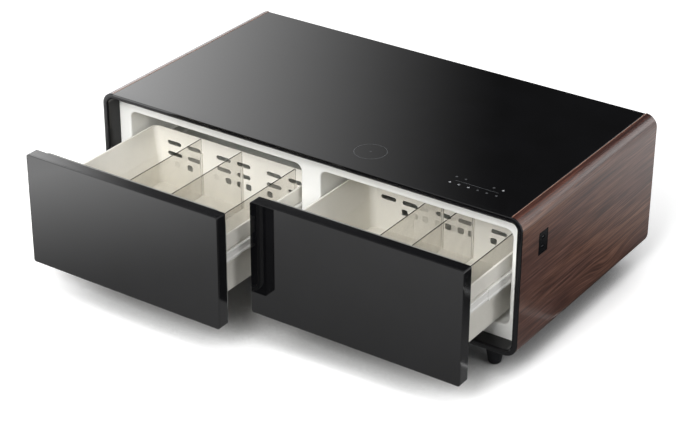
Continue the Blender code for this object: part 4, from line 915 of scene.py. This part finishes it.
@dataclass
class Case:
    """The table's case: shells, glass top, front frame, liner, feet and back."""

    corner: float = 34 * MM
    shell: float = 9 * MM
    bead: float = 2.4 * MM
    band: float = 15.5 * MM
    lip: float = 5 * MM
    bite: float = 0.2 * MM
    recess: float = 50 * MM
    glass: float = 6 * MM
    liner: float = 2.5 * MM
    liner_turn: float = 5 * MM
    cavity_corner: float = 20 * MM
    edge_round: float = 0.6 * MM
    outlet_corner: float = 3.3 * MM
    glass_corner: float = 1.5 * MM
    glass_edge: float = 0.8 * MM
    glass_sink: float = 0.1 * MM
    foot_edge: float = 1.5 * MM
    foot_straight: float = 10 * MM
    foot_heel: float = 8 * MM
    foot_cup: float = 9.5 * MM
    louvre_counts: tuple[int, int] = (3, 7)
    louvre_place: float = 420 * MM
    louvre_pitches: tuple[float, float] = (76 * MM, 18 * MM)
    screw_inset: float = 24 * MM
    screw_radius: float = 4 * MM
    steps: int = 20

    def __post_init__(self) -> None:
        """Reads the case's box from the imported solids."""
        low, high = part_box("front_frame")
        self.half, self.front = high[0], low[1]
        self.bottom, self.top = low[2], high[2]
        self.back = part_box("side_shell_left")[1][1]
        self.inset = self.shell + SEAT_GAP

    def outline(self, inset: float) -> Outline:
        """The case's section, drawn in by an inset."""
        return rounded_outline((-self.half, self.bottom), (self.half, self.top),
                               self.corner - inset, self.steps, inset)

    def build(self, repeat: GridRepeat) -> None:
        """Builds and dresses every piece of the case.

        Args:
            repeat: The tree that sets louvres and screws out.
        """
        for side in Side:
            self.build_shell(side)
        self.build_glass()
        self.build_frame()
        self.build_liner()
        for row in ("front", "rear"):
            for side in Side:
                self.build_foot(f"{row}_{side.word}")
        self.build_back(repeat)
        dress(Finishes.ZINC, "base_pan")
        dress(Finishes.FIBREBOARD, "top_deck")
        dress(Finishes.FOAM, "foam_insulation")

    def build_shell(self, side: Side) -> None:
        """Builds the walnut shell that is bent round one side, and its edge band.

        Args:
            side: The side.
        """
        bend, inner = self.half - self.corner, self.corner - self.shell
        high, low = self.top - self.corner, self.bottom + self.corner
        path = arc(bend, high, self.corner, QUARTER, 0, self.steps)
        path += arc(bend, low, self.corner, 0, -QUARTER, self.steps)
        path += arc(bend, low, inner, -QUARTER, 0, self.steps)
        path += arc(bend, high, inner, 0, QUARTER, self.steps)
        path = [(side.value * u, v) for u, v in path]
        start, crown = self.front + self.lip + SEAT_GAP, self.top - self.bead
        piece = flat_solid(f"walnut_shell_{side.word}", [path], Axis.Y, start, self.back)
        past, play = 1 * MM, 0.1 * MM
        near, far = sorted((side.value * (bend - past), side.value * (bend + self.bead)))
        carve(piece, [block("bead_room", (near, start - past, crown),
                            (far, self.back + past, self.top + past))])
        near, far = sorted((side.value * bend, side.value * (bend + self.bead - play)))
        section = rounded_outline((near, crown + play), (far, self.top - play), 0.5 * MM, 3)
        # The edge band's paler finish is a painted highlight line along the glass.
        strip = flat_solid(f"walnut_edge_band_{side.word}", [section], Axis.Y,
                           start + 2 * play, self.back - 2 * play)
        finish_piece(strip, Finishes.EDGE_BAND, Body.CASE, "walnut")
        ease(piece, self.edge_round)
        if side is Side.RIGHT:
            low_c, high_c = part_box("outlet_plate")
            hole = rounded_outline(low_c.yz, high_c.yz, self.outlet_corner, 6, -SEAT_GAP)
            carve(piece, [flat_solid("outlet_cut", [hole], Axis.X, self.half - 2 * self.shell,
                                     self.half + self.shell)])
        finish_piece(piece, Finishes.WALNUT, Body.CASE, "walnut", f"side_shell_{side.word}")

    def build_glass(self) -> None:
        """Builds the glass top with its polished edge."""
        low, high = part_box("top_glass")
        edge, face = self.glass_edge, high[2] - self.glass_sink
        levels = soften([(edge, 0.0), (0.0, edge), (0.0, self.glass - edge),
                         (edge, self.glass)], 0.5 * MM, 2)
        rings = [[Vector((u, v, face - depth)) for u, v in
                  rounded_outline(low.xy, high.xy, self.glass_corner, 3, inset)]
                 for inset, depth in levels]
        finish_piece(loft("glass_top", rings), Finishes.GLASS, Body.CASE, "black_glass",
                     "top_glass")

    def build_frame(self) -> None:
        """Builds the black front frame with its lip and the lining of the recess."""
        face, edge = 4 * MM, 1.2 * MM
        profile = [(edge, 0.0), (0.0, edge), (0.0, self.lip), (self.inset, self.lip),
                   (self.inset, self.recess), (self.band, self.recess), (self.band, face),
                   (self.band - face, 0.0)]
        groove = ((10.0, 0.0), (9.6, 0.9), (8.4, 0.9), (8.0, 0.0))
        profile += [(inset * MM, depth * MM) for inset, depth in groove]
        rings = [[Vector((u, self.front + depth, v)) for u, v in self.outline(inset)]
                 for inset, depth in soften(profile, 0.7 * MM, 2, True)]
        piece = loft("front_frame_moulding", rings, closed=True)
        low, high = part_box("top_glass")
        rebate = block("glass_rebate", (low[0] - SEAT_GAP, self.front - self.lip,
                                        low[2] - SEAT_GAP),
                       (high[0] + SEAT_GAP, self.front + self.lip + self.bite,
                        self.top + self.lip))
        rest = block("glass_rest", (low[0], self.front + face + self.bite,
                                    self.top - 2 * self.inset),
                     (high[0], self.front + self.recess, low[2] - SEAT_GAP))
        carve(piece, [rest], "UNION")
        opening = flat_solid("frame_opening", [self.outline(self.band)], Axis.Y,
                             self.front + face, self.front + self.recess + face)
        carve(piece, [opening, rebate])
        finish_piece(piece, Finishes.BLACK_TRIM, Body.CASE, "black_plastic", "front_frame")

    def cavity(self, side: Side, grow: float, depth: float) -> Ring:
        """One compartment's section, grown all round, at a depth behind the front.

        Args:
            side: The compartment's side.
            grow: How far it is grown.
            depth: Its depth.

        Returns:
            The ring.
        """
        low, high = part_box(f"{side.word}_duct_cover")
        points = rounded_outline(low.xz, high.xz, self.cavity_corner + grow, 10,
                                 -grow - SEAT_GAP)
        return [Vector((u, self.front + depth, v)) for u, v in points]

    def build_liner(self) -> None:
        """Builds the white liner, whose flange turns into each compartment with a soft edge."""
        flange, wall, turn = self.recess + SEAT_GAP, self.liner, self.liner_turn
        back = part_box("inner_liner")[1][1] - self.front
        piece = flat_solid("white_liner", [self.outline(self.inset)], Axis.Y,
                           self.front + flange, self.front + flange + wall)
        carve(piece, [loft("tub", [self.cavity(side, wall, flange + wall / 2),
                                   self.cavity(side, wall, back)]) for side in Side], "UNION")
        curve = arc(turn, turn, turn, -QUARTER, -2 * QUARTER, 6)
        hollows = []
        for side in Side:
            rings = [self.cavity(side, turn + 1 * MM, flange - 3 * MM)]
            rings += [self.cavity(side, u, flange + v) for u, v in curve]
            rings.append(self.cavity(side, 0.0, back - wall))
            hollows.append(loft("hollow", rings))
        carve(piece, hollows)
        finish_piece(piece, Finishes.WHITE_ABS, Body.CASE, "white_plastic", "inner_liner")
        dress(Finishes.WHITE_ABS, "left_duct_cover", "right_duct_cover")

    def build_foot(self, place: str) -> None:
        """Builds one tapered foot, rounded like a cup below.

        Args:
            place: Its row and side.
        """
        low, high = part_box(f"foot_{place}")
        radius, top, edge = (high[0] - low[0]) / 2, high[2], self.foot_edge
        profile = [(radius - edge, top), (radius, top - edge),
                   (radius, top - self.foot_straight)]
        profile += arc(self.foot_heel, self.foot_cup, self.foot_cup, 0.0, -QUARTER, 10)
        foot = turned(f"tapered_foot_{place}", (low[0] + high[0]) / 2, (low[1] + high[1]) / 2,
                      profile, 48)
        finish_piece(foot, Finishes.RUBBER, Body.CASE, "black_rubber", f"foot_{place}")

    def build_back(self, repeat: GridRepeat) -> None:
        """Dresses the back panel and adds its hooded louvres and its screws.

        Args:
            repeat: The tree that sets them out.
        """
        dress(Finishes.BLACK_ABS, "back_panel", "service_panel")
        low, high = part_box("back_panel")
        face, middle = high[1] + SEAT_GAP, (low[2] + high[2]) / 2
        for side in Side:
            hoods = repeat.make(f"louvre_hoods_{side.word}", self.hood(),
                                self.louvre_counts, self.louvre_pitches, Axis.Y,
                                (side.value * self.louvre_place, face, middle),
                                Finishes.BLACK_ABS)
            finish_piece(hoods, Finishes.BLACK_ABS, Body.CASE, "black_plastic")
        for node, columns in (("back_panel", 4), ("service_panel", 2)):
            low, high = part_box(node)
            pitches = ((high[0] - low[0] - 2 * self.screw_inset) / (columns - 1),
                       high[2] - low[2] - 2 * self.screw_inset)
            screws = repeat.make(f"{node}_screws", self.screw(), (columns, 2), pitches, Axis.Y,
                                 ((low[0] + high[0]) / 2, face, middle), Finishes.SCREW)
            finish_piece(screws, Finishes.SCREW, Body.CASE, "zinc_steel")

    def hood(self) -> Piece:
        """Makes a sloping hood over one louvre slot, about its own origin.

        Returns:
            The hood.
        """
        half, rise, lean, sheet = 30 * MM, 4.5 * MM, 3.2 * MM, 1 * MM
        path = [(0.0, rise), (lean, -rise), (lean - sheet, -rise), (0.0, rise - 1.6 * sheet)]
        return loft("hood", [[Vector((u, v, -w)) for w, v in path] for u in (-half, half)])

    def screw(self) -> Piece:
        """Makes a pan-head screw with a cross recess, about its own origin.

        Returns:
            The screw.
        """
        wide = self.screw_radius
        profile = soften([(wide, 0.0), (wide, -0.3 * wide), (0.7 * wide, -0.525 * wide),
                          (0.15 * wide, -0.575 * wide)], 0.15 * wide, 2)
        long, thin = 0.5 * wide, 0.1 * wide
        cross = [block("slot", (-u, -v, -0.75 * wide), (u, v, -0.325 * wide))
                 for u, v in ((long, thin), (thin, long))]
        return carve(turned("screw", 0, 0, profile, 16), cross)


# Controls and outlet

@dataclass
class Controls:
    """The printed marks on the glass, the board and coil under it, and the outlet."""

    pitch: float = 26.4 * MM
    ring_radius: float = 43 * MM
    ring_line: float = 0.9 * MM
    centre_radii: tuple[float, float] = (2.2 * MM, 1.4 * MM)
    mark_radii: tuple[float, float, float] = (3.0 * MM, 2.2 * MM, 1.1 * MM)
    ink: float = 0.09 * MM
    bar_low: tuple[float, float] = (406 * MM, 93.6 * MM)
    bar_high: tuple[float, float] = (528 * MM, 94.4 * MM)
    outlet_corner: float = 3 * MM
    outlet_rim: float = 1.8 * MM
    port_place: float = 13 * MM
    tongue_depths: tuple[float, float] = (12 * MM, 1.5 * MM)

    # Name, count, place to the right of the middle and behind the front, and ink.
    MARKS = (("touch_marks_rear_left", 2, 411.8, 112.0, Finishes.INK_DIM),
             ("touch_mark_rear_dim", 1, 504.8, 112.0, Finishes.INK_DIM),
             ("touch_mark_rear_bright", 1, 531.2, 112.0, Finishes.INK),
             ("touch_marks_front_bright", 3, 425.6, 78.0, Finishes.INK),
             ("touch_marks_front_dim", 3, 504.8, 78.0, Finishes.INK_DIM))

    def build(self, case: Case, repeat: GridRepeat) -> None:
        """Builds the marks and dresses the electrical parts.

        Args:
            case: The case that carries them.
            repeat: The tree that sets the touch marks out.
        """
        face, y = case.top, case.front
        base = face - self.ink
        low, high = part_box("charging_coil")
        middle = ((low[0] + high[0]) / 2, (low[1] + high[1]) / 2)
        bar = rounded_outline((self.bar_low[0], y + self.bar_low[1]),
                              (self.bar_high[0], y + self.bar_high[1]), 0.39 * MM, 4)
        for name, outlines in (
                ("charging_ring_mark", [circle(*middle, self.ring_radius - line, 96)
                                        for line in (0.0, self.ring_line)]),
                ("charging_centre_mark", [circle(*middle, radius, 24)
                                          for radius in self.centre_radii]),
                ("touch_divide_line", [bar])):
            finish_piece(flat_solid(name, outlines, Axis.Z, base, face), Finishes.INK_DIM,
                         Body.CASE, "black_plastic")
        for name, count, x_mm, y_mm, ink in self.MARKS:
            marks = repeat.make(name, self.mark(), (count, 1), (self.pitch, 0.0), Axis.Z,
                                (x_mm * MM, y + y_mm * MM, base), ink)
            finish_piece(marks, ink, Body.CASE, "white_plastic")
        dress(Finishes.BOARD, "control_board")
        dress(Finishes.COPPER, "charging_coil")
        dress(Finishes.BLACK_ABS, "outlet_module", "outlet_plate", "power_inlet")
        self.build_outlet_details()

    def build_outlet_details(self) -> None:
        """Builds the outlet's raised rim and the contact tongues in its two ports."""
        low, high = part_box("outlet_plate")
        face, half, thin = high[0], 5 * MM, 0.8 * MM
        rim = [rounded_outline(low.yz, high.yz, self.outlet_corner - inset / 2, 6, inset)
               for inset in (0.0, self.outlet_rim)]
        piece = flat_solid("outlet_rim", rim, Axis.X, face + 0.1 * MM, face + 0.5 * MM)
        finish_piece(piece, Finishes.BLACK_ABS, Body.CASE, "black_plastic")
        y, middle = (low[1] + high[1]) / 2, (low[2] + high[2]) / 2
        # Real contact tongues; their pale grey is partly a painted glint in the dark ports.
        tongues = []
        for z in (middle - self.port_place, middle + self.port_place):
            section = rounded_outline((y - half, z - thin), (y + half, z + thin), 0.5 * MM, 3)
            tongues.append(flat_solid("tongue", [section], Axis.X,
                                      *(face - depth for depth in self.tongue_depths)))
        finish_piece(merge("outlet_port_tongues", tongues), Finishes.INK_DIM, Body.CASE,
                     "white_plastic")

    def mark(self) -> Piece:
        """Makes a touch mark, a small ring round a dot, about its own origin.

        Returns:
            The mark.
        """
        outer, inner, dot = self.mark_radii
        shapes = ([circle(0, 0, outer, 20), circle(0, 0, inner, 20)], [circle(0, 0, dot, 12)])
        return merge("mark", [flat_solid("mark_part", outlines, Axis.Z, 0.0, self.ink)
                              for outlines in shapes])


# Drawers

@dataclass
class Drawer:
    """One drawer: glass front, core, seal, bin, dividers and slides."""

    side: Side
    corner: float = 6 * MM
    least_corner: float = 1.5 * MM
    seal_corner: float = 37 * MM
    seal_width: float = 14 * MM
    wall: float = 3 * MM
    rim: float = 6 * MM
    cove: float = 40 * MM
    front_corner: float = 2 * MM
    rear_corner: float = 20 * MM
    bin_turn: float = 1.6 * MM
    skirt: float = 15 * MM
    groove: float = 6 * MM
    ledge: float = 4 * MM
    channel_height: float = 96 * MM
    shoulder_height: float = 132 * MM
    slot_span: tuple[float, float] = (552 * MM, 175 * MM)
    slot_half: tuple[float, float] = (23.5 * MM, 6.5 * MM)
    port_half: tuple[float, float] = (9.5 * MM, 9 * MM)
    rib: float = 2 * MM
    rib_reach: float = 9 * MM
    press: float = 1.6 * MM
    sheet: float = 1.2 * MM
    track_step: float = 0.8 * MM
    divider_edge: float = 0.5 * MM

    # The rear wall's air slots and ports, as shares of its width and height.
    SLOT_ROW_SHARES = (0.766, 0.577)
    SLOT_SHARES = (0.126, 0.247, 0.432, 0.555, 0.738, 0.863)
    PORT_ROW_SHARES = (0.411,)
    PORT_SHARES = (0.218, 0.458, 0.528, 0.585, 0.710)

    def __post_init__(self) -> None:
        """Finds the bodies that its pieces ride on."""
        self.body = Body[f"{self.side.name}_DRAWER"]
        self.middles = Body[f"{self.side.name}_MIDDLES"]

    def node(self, word: str) -> str:
        """The name of one of the drawer's nodes."""
        return f"{self.side.word}_{word}"

    def build(self) -> None:
        """Builds and dresses every piece of the drawer."""
        self.build_front()
        self.build_seal()
        self.build_bin()
        for index in (1, 2, 3):
            self.build_divider(index)
        for side in Side:
            dress(Finishes.WHITE_STEEL, self.node(f"slide_outer_{side.word}"))
            self.build_slide(side)

    def rings(self, node: str, levels: list[tuple[float, ...]], corner: float,
              least: float = 0.0) -> list[Ring]:
        """A node's outline seen from the front, drawn in and set back level by level.

        Args:
            node: The node whose box it fills.
            levels: Insets, each with its depth behind the node's front.
            corner: The outline's corner radius.
            least: The smallest radius that an inset may leave.

        Returns:
            The rings.
        """
        low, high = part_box(node)
        return [[Vector((u, low[1] + depth, v)) for u, v in
                 rounded_outline(low.xz, high.xz, max(corner - inset, least), 8, inset)]
                for inset, depth in levels]

    def build_front(self) -> None:
        """Builds the dark glass face and the moulded core behind it."""
        for word, name, edge, reach, rear, finish, slot in (
                ("front_glass", "glass_face", 0.9 * MM, 0.4 * MM, 0.0, Finishes.GLASS,
                 "black_glass"),
                ("front_core", "front_body", 0.6 * MM, 0.5 * MM, 1.2 * MM, Finishes.BLACK_ABS,
                 "black_plastic")):
            low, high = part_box(self.node(word))
            thick = high[1] - low[1]
            levels = [(edge, 0.0), (0.0, edge), (0.0, thick - rear)]
            if rear:
                levels.append((rear, thick))
            rings = self.rings(self.node(word), soften(levels, reach, 2), self.corner,
                               self.least_corner)
            finish_piece(loft(self.node(name), rings), finish, self.body, slot, self.node(word))

    def build_seal(self) -> None:
        """Builds the seal, a soft tube with one fold, round the back of the front."""
        node = self.node("gasket")
        low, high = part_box(node)
        depth, width = high[1] - low[1], self.seal_width
        side = [(0.0, 0.35), (1.6 * MM, 0.5), (0.6 * MM, 0.7), (2 * MM, 1.0)]
        profile = [(0.0, 0.0)] + [(inset, depth * share) for inset, share in side]
        profile += [(width - inset, y) for inset, y in reversed(profile)]
        rings = self.rings(node, soften(profile, 1.2 * MM, 2, True), self.seal_corner)
        finish_piece(loft(self.node("seal"), rings, closed=True), Finishes.SEAL, self.body,
                     "grey_rubber", node)

    def bin_ring(self, half: float, inset: float, z: float) -> Ring:
        """One level of the bin's wall.

        Args:
            half: Half of its width at this level.
            inset: How far the front and back walls are drawn in.
            z: The level.

        Returns:
            The ring of points.
        """
        low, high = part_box(self.node("bin"))
        centre, front, back = (low[0] + high[0]) / 2, low[1] + inset, high[1] - inset
        near, rear = self.front_corner, max(self.rear_corner - inset, 2 * self.front_corner)
        points = arc(centre + half - rear, back - rear, rear, 0, QUARTER, 10)
        points += arc(centre - half + rear, back - rear, rear, QUARTER, 2 * QUARTER, 10)
        points += arc(centre - half + near, front + near, near, 2 * QUARTER, 3 * QUARTER, 3)
        points += arc(centre + half - near, front + near, near, -QUARTER, 0, 3)
        return [Vector((u, v, z)) for u, v in points]

    def build_bin(self) -> None:
        """Builds the bin with its stepped sides, air slots, ports and divider guides."""
        node = self.node("bin")
        low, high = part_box(node)
        half, floor, rim, wall = (high[0] - low[0]) / 2, low[2], high[2], self.wall
        channel, top = floor + self.channel_height, floor + self.shoulder_height
        skirt, groove, cove = half - self.skirt, half - self.groove, self.cove
        outer = [(skirt - cove, cove, floor), (skirt, 0.0, floor),
                 (skirt, 0.0, channel - self.ledge), (half, 0.0, channel - self.ledge),
                 (half, 0.0, channel), (groove, 0.0, channel), (groove, 0.0, top),
                 (half, 0.0, top), (half, 0.0, rim)]
        inner = [(half - self.rim, wall, rim), (skirt - wall, wall, channel - 5 * MM),
                 (skirt - wall, wall, floor + wall), (skirt - cove, cove, floor + wall)]
        rings = [self.bin_ring(*level) for level in soften(outer + inner, self.bin_turn, 2)]
        piece = loft(self.node("drawer_bin"), rings)
        carve(piece, [self.bin_slots(low[0], floor, high[1])])
        carve(piece, [self.bin_guides(floor, low[1], high[1])], "UNION")
        finish_piece(piece, Finishes.WARM_WHITE, self.body, "warm_white", node)

    def bin_slots(self, left: float, floor: float, back: float) -> Piece:
        """Makes the tool that cuts the rear wall's slots and ports.

        Args:
            left: The bin's left side.
            floor: Its underside.
            back: Its back.

        Returns:
            The tool.
        """
        (wide, tall), outlines, reach = self.slot_span, [], 8 * MM
        for rows, shares, (half, high), corner in (
                (self.SLOT_ROW_SHARES, self.SLOT_SHARES, self.slot_half, 6.4 * MM),
                (self.PORT_ROW_SHARES, self.PORT_SHARES, self.port_half, 5 * MM)):
            for u, v in ((left + share * wide, floor + row * tall)
                         for row in rows for share in shares):
                outlines.append(rounded_outline((u - half, v - high), (u + half, v + high),
                                                corner, 5))
        return flat_solid("bin_slot_tool", outlines, Axis.Y, back - reach, back + reach)

    def bin_guides(self, floor: float, front: float, back: float) -> Piece:
        """Makes the ribs that hold the dividers, front and rear.

        Args:
            floor: The bin's underside.
            front: Its front.
            back: Its back.

        Returns:
            The ribs.
        """
        ribs = []
        for index in (1, 2, 3):
            low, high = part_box(self.node(f"divider_{index}"))
            for x in (low[0] - self.rib - SEAT_GAP, high[0] + SEAT_GAP):
                for y0, y1 in ((front + self.rib, front + self.rib_reach),
                               (back - self.rib_reach, back - self.rib)):
                    ribs.append(block("rib", (x, y0, floor + self.rib),
                                      (x + self.rib, y1, floor + self.shoulder_height)))
        return merge("bin_guide_tool", ribs)

    def track(self, face: float, turn: float, low: float, high: float, edge: float) -> Outline:
        """The side of a slide member, pressed in along its middle, from low to high.

        Args:
            face: Where its outer face lies on X.
            turn: The side that it faces, one or minus one.
            low: Its lowest level.
            high: Its highest level.
            edge: The height of the flat beside the pressed part.

        Returns:
            The points.
        """
        deep, slope = face - turn * self.press, edge + 3 * MM
        return [(face, low), (face, low + edge), (deep, low + slope), (deep, high - slope),
                (face, high - edge), (face, high)]

    def build_slide(self, side: Side) -> None:
        """Builds a slide's rolled bar on the bin and the channel that the bar runs in.

        Args:
            side: The side of the bin that it is on.
        """
        for word, name, edge, turn, steps, body in (
                ("inner", "bar", 5 * MM, 1 * MM, 3, self.body),
                ("middle", "channel", 6 * MM, 0.4 * MM, 2, self.middles)):
            node = self.node(f"slide_{word}_{side.word}")
            low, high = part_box(node)
            face, lip = (high[0], low[0]) if side is Side.RIGHT else (low[0], high[0])
            outline = [(lip, low[2])] + self.track(face, side.value, low[2], high[2], edge)
            outline.append((lip, high[2]))
            if name == "channel":
                under, over = low[2] + self.sheet, high[2] - self.sheet
                inner = self.track(face - side.value * self.sheet, side.value, under, over,
                                   edge - self.track_step)
                outline += [(lip, over)] + inner[::-1] + [(lip, under)]
            rolled = flat_solid(self.node(f"slide_{name}_{side.word}"),
                                [soften(outline, turn, steps, True)], Axis.Y, low[1], high[1])
            finish_piece(rolled, Finishes.WHITE_STEEL, body, "painted_steel", node)

    def build_divider(self, index: int) -> None:
        """Builds one clear divider with polished edges.

        Args:
            index: Its number, from the left.
        """
        node = self.node(f"divider_{index}")
        low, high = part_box(node)
        piece = ease(block(self.node(f"clear_divider_{index}"), low, high),
                     self.divider_edge)
        finish_piece(piece, Finishes.CLEAR, self.body, "clear_plastic", node)
        piece.visible_shadow = False


# Inside

class Works:
    """The cooling and electrical parts, which show through the louvres and slots."""

    def build(self) -> None:
        """Dresses each part."""
        dress(Finishes.BLACK_STEEL, "compressor", "condenser")
        dress(Finishes.RUBBER, "compressor_cushion")
        dress(Finishes.BLACK_ABS, "relay_box", "condenser_fan_frame", "condenser_fan_rotor",
              "evaporator_fan_frame", "evaporator_fan_rotor")
        dress(Finishes.ALUMINIUM, "evaporator")
        dress(Finishes.COPPER, "hot_pipe", "cold_pipe")
        dress(Finishes.WHITE_ABS, "condensate_tray")
        dress(Finishes.ZINC, "power_supply")


# Studio

@dataclass(frozen=True)
class Glow:
    """Light that grows along one direction of a card, from one strength to another."""

    lean: Point
    ends: tuple[float, float]
    levels: tuple[float, float]
    power: float = 1.0


@dataclass(frozen=True)
class Card:
    """A lit card that only reflections see, upright or lying flat."""

    name: str
    low: Point
    high: Point
    glows: tuple[Glow, ...]

    def build(self) -> None:
        """Hangs the card; its light is the sum of its glows."""
        (x0, y0, z0), (x1, y1, z1) = self.low, self.high
        far = (x1, y0, z0) if z0 == z1 else (x1, y1, z0)
        near = (x0, y1, z0) if z0 == z1 else (x0, y0, z1)
        work = bmesh.new()
        work.faces.new([work.verts.new(corner) for corner in (self.low, far, self.high, near)])
        sheet = object_from(work, self.name)
        made, total = Surface(self.name + "_paper"), 0.0
        for glow in self.glows:
            along = made.add("ShaderNodeVectorMath", {0: made.place, 1: glow.lean},
                             operation="DOT_PRODUCT").outputs["Value"]
            level = made.graded(along, glow.ends, glow.levels, glow.power)
            total = made.add("ShaderNodeMath", {0: total, 1: level}, operation="ADD").outputs[0]
        light = made.add("ShaderNodeEmission", {"Color": (1, 1, 1, 1), "Strength": total})
        sheet.data.materials.append(made.done_with(light))
        sheet.visible_camera = sheet.visible_diffuse = sheet.visible_shadow = False
        sheet.visible_transmission = False


@dataclass(frozen=True)
class Studio:
    """A pale floor, a white background, lit cards, soft lamps and the camera."""

    azimuth_deg: float = 34.26
    elevation_deg: float = 28.05
    roll_deg: float = 0.26
    lens_mm: float = 105.25
    eye: Point = (2.6265, -3.8590, 2.6780)
    sensor_mm: float = 36.0
    floor_size: float = 14.0
    paper_mm: float = 900.0
    # Reach of the ambient occlusion, and the ends over which it paints shadow on the floor.
    shade_reach: float = 0.4
    shade_ends: tuple[float, float] = (0.12, 0.58)
    white_centre: Point = (0.0, -0.7, 0.0)
    white_ends: tuple[float, float] = (1.25, 2.1)
    fill: float = 0.28
    aim: Point = (0, 0, 0.2)

    # Name, two opposite corners and the glows, which shape what the glass mirrors.
    CARDS = (
        Card("card_behind", (-9, 4.5, 1.2), (1.5, 4.5, 3.33),
             (Glow((-1, 0, 0), (2.0, 5.0), (0.03, 3.4), 1.7),)),
        Card("card_above", (-9, 4.5, 3.34), (1.5, 4.5, 7.0),
             (Glow((-1, 0, 0), (4.5, 5.5), (0.01, 3.3), 1.8),)),
        Card("card_before", (-3.5, -3.5, 0.002), (2, -0.2, 0.002),
             (Glow((-1, -0.6, 0), (0.8, 1.7), (0.0, 2.3), 1.8),
              Glow((0, 1, 0), (-0.45, -1.0), (0.4, 0.8)))),
        Card("card_near", (0.6, -0.19, 0.002), (1.6, 0.12, 0.002),
             (Glow((0, -1, 0), (-0.12, 0.1), (0.04, 0.2)),)),
        Card("card_beside", (0.6, 0.13, 0.002), (3.5, 3.0, 0.002),
             (Glow((0.3, 1, 0), (0.75, 1.6), (0.03, 1.0)),)),
        Card("card_far", (2.0, 7.7, 2.0), (6.4, 4.8, 6.8),
             (Glow((-1, 0, -1), (-8.3, -6.8), (0.3, 4.2)),)))

    # Name, place, size, and the light that it gives on the table.
    LAMPS = (("overhead", (0.8, -2.4, 7.6), 6.0, 0.30),
             ("front", (0.7, -6.9, 5.0), 4.0, 0.97),
             ("side", (7.0, -1.0, 3.2), 3.0, 0.26))

    def build(self) -> None:
        """Builds the studio."""
        self.build_camera()
        self.build_floor()
        self.build_world()
        for card in self.CARDS:
            card.build()
        self.build_lamps()
        bpy.context.scene.view_settings.view_transform = "Standard"

    def build_camera(self) -> None:
        """Places the camera where the picture was taken from."""
        place = Matrix.Translation(self.eye)
        for degrees, axis in ((self.azimuth_deg, "Z"), (90 - self.elevation_deg, "X"),
                              (self.roll_deg, "Z")):
            place = place @ Matrix.Rotation(math.radians(degrees), 4, axis)
        data = bpy.data.cameras.new("picture_camera")
        data.lens, data.sensor_width = self.lens_mm, self.sensor_mm
        data.sensor_fit = "HORIZONTAL"
        data.clip_end = 100.0
        camera = placed("picture_camera", data)
        camera.matrix_world = place
        bpy.context.scene.camera = camera

    def build_floor(self) -> None:
        """Lays the pale floor, which takes shadows, gets a painted shadow from ambient occlusion
        near the table, and is white where it is open.
        """
        work = bmesh.new()
        bmesh.ops.create_grid(work, x_segments=1, y_segments=1, size=self.floor_size)
        floor = object_from(work, "studio_floor")
        made = Surface("pale_studio_paper")
        paper = made.add("ShaderNodeValToRGB", {"Fac": made.pattern(self.paper_mm)},
                         stops=[(0.3, "979797"), (0.7, "9A9A9A")])
        matt = made.add("ShaderNodeBsdfDiffuse", {"Color": paper.outputs["Color"]})
        # Painted shadow: ambient occlusion darkens the floor near the table, for the camera,
        # mirrors and clear sheets.
        open_share = made.add("ShaderNodeAmbientOcclusion", {"Distance": self.shade_reach},
                              samples=8).outputs["AO"]
        glow = made.add("ShaderNodeBsdfDiffuse", {
            "Color": made.graded(open_share, self.shade_ends, (0.0, 1.0))})
        far = made.add("ShaderNodeVectorMath", {0: made.place, 1: self.white_centre},
                       operation="DISTANCE").outputs["Value"]
        white = made.add("ShaderNodeEmission", {"Color": (1, 1, 1, 1), "Strength": 1.0})
        glow = made.add("ShaderNodeMixShader", {
            0: made.graded(far, self.white_ends, (0.0, 1.0)), 1: glow.outputs[0],
            2: white.outputs[0]})
        none = made.add("ShaderNodeBsdfDiffuse", {"Color": (0, 0, 0, 1)})
        choice = made.add("ShaderNodeMixShader", {
            0: self.clear_view(made.tree), 1: none.outputs[0], 2: glow.outputs[0]})
        both = made.add("ShaderNodeAddShader", {0: matt.outputs[0], 1: choice.outputs[0]})
        floor.data.materials.append(made.done_with(both))

    def clear_view(self, tree: Tree) -> Socket:
        """Tells rays from the camera and reflected and refracted rays from the others.

        Args:
            tree: The tree that gets the nodes.

        Returns:
            One for those rays, else zero.
        """
        rays = add_node(tree, "ShaderNodeLightPath").outputs
        seen = rays["Is Camera Ray"]
        for kind in ("Is Glossy Ray", "Is Transmission Ray"):
            seen = add_node(tree, "ShaderNodeMath", {0: seen, 1: rays[kind]},
                            operation="MAXIMUM").outputs[0]
        return seen

    def build_world(self) -> None:
        """Makes the world white to the camera, to mirrors and through clear sheets."""
        world = bpy.data.worlds.new("studio_world")
        bpy.context.scene.world = world
        world.use_nodes = True
        tree = world.node_tree
        tree.nodes.clear()
        fill, white = (add_node(tree, "ShaderNodeBackground", {
            "Color": (1, 1, 1, 1), "Strength": strength}) for strength in (self.fill, 1.0))
        mix = add_node(tree, "ShaderNodeMixShader", {
            0: self.clear_view(tree), 1: fill.outputs[0], 2: white.outputs[0]})
        out = add_node(tree, "ShaderNodeOutputWorld", {"Surface": mix.outputs[0]})
        out.is_active_output = True

    def build_lamps(self) -> None:
        """Hangs the soft lamps, each turned to the table."""
        for name, place, size, level in self.LAMPS:
            data = bpy.data.lights.new(name, "AREA")
            way = Vector(self.aim) - Vector(place)
            data.shape, data.size = "SQUARE", size
            data.energy = level * math.pi ** 2 * way.length_squared
            lamp = placed(name, data)
            lamp.matrix_world = (Matrix.Translation(place)
                                 @ way.to_track_quat("-Z", "Y").to_matrix().to_4x4())
            lamp.visible_glossy = False


def main() -> None:
    """Builds the table and its studio, in order."""
    logging.basicConfig(level=logging.INFO, format="%(name)s: %(message)s")
    Studio().build()
    repeat, case = GridRepeat(), Case()
    case.build(repeat)
    Controls().build(case, repeat)
    for side in Side:
        Drawer(side).build()
    Works().build()


if __name__ == "__main__":
    main()
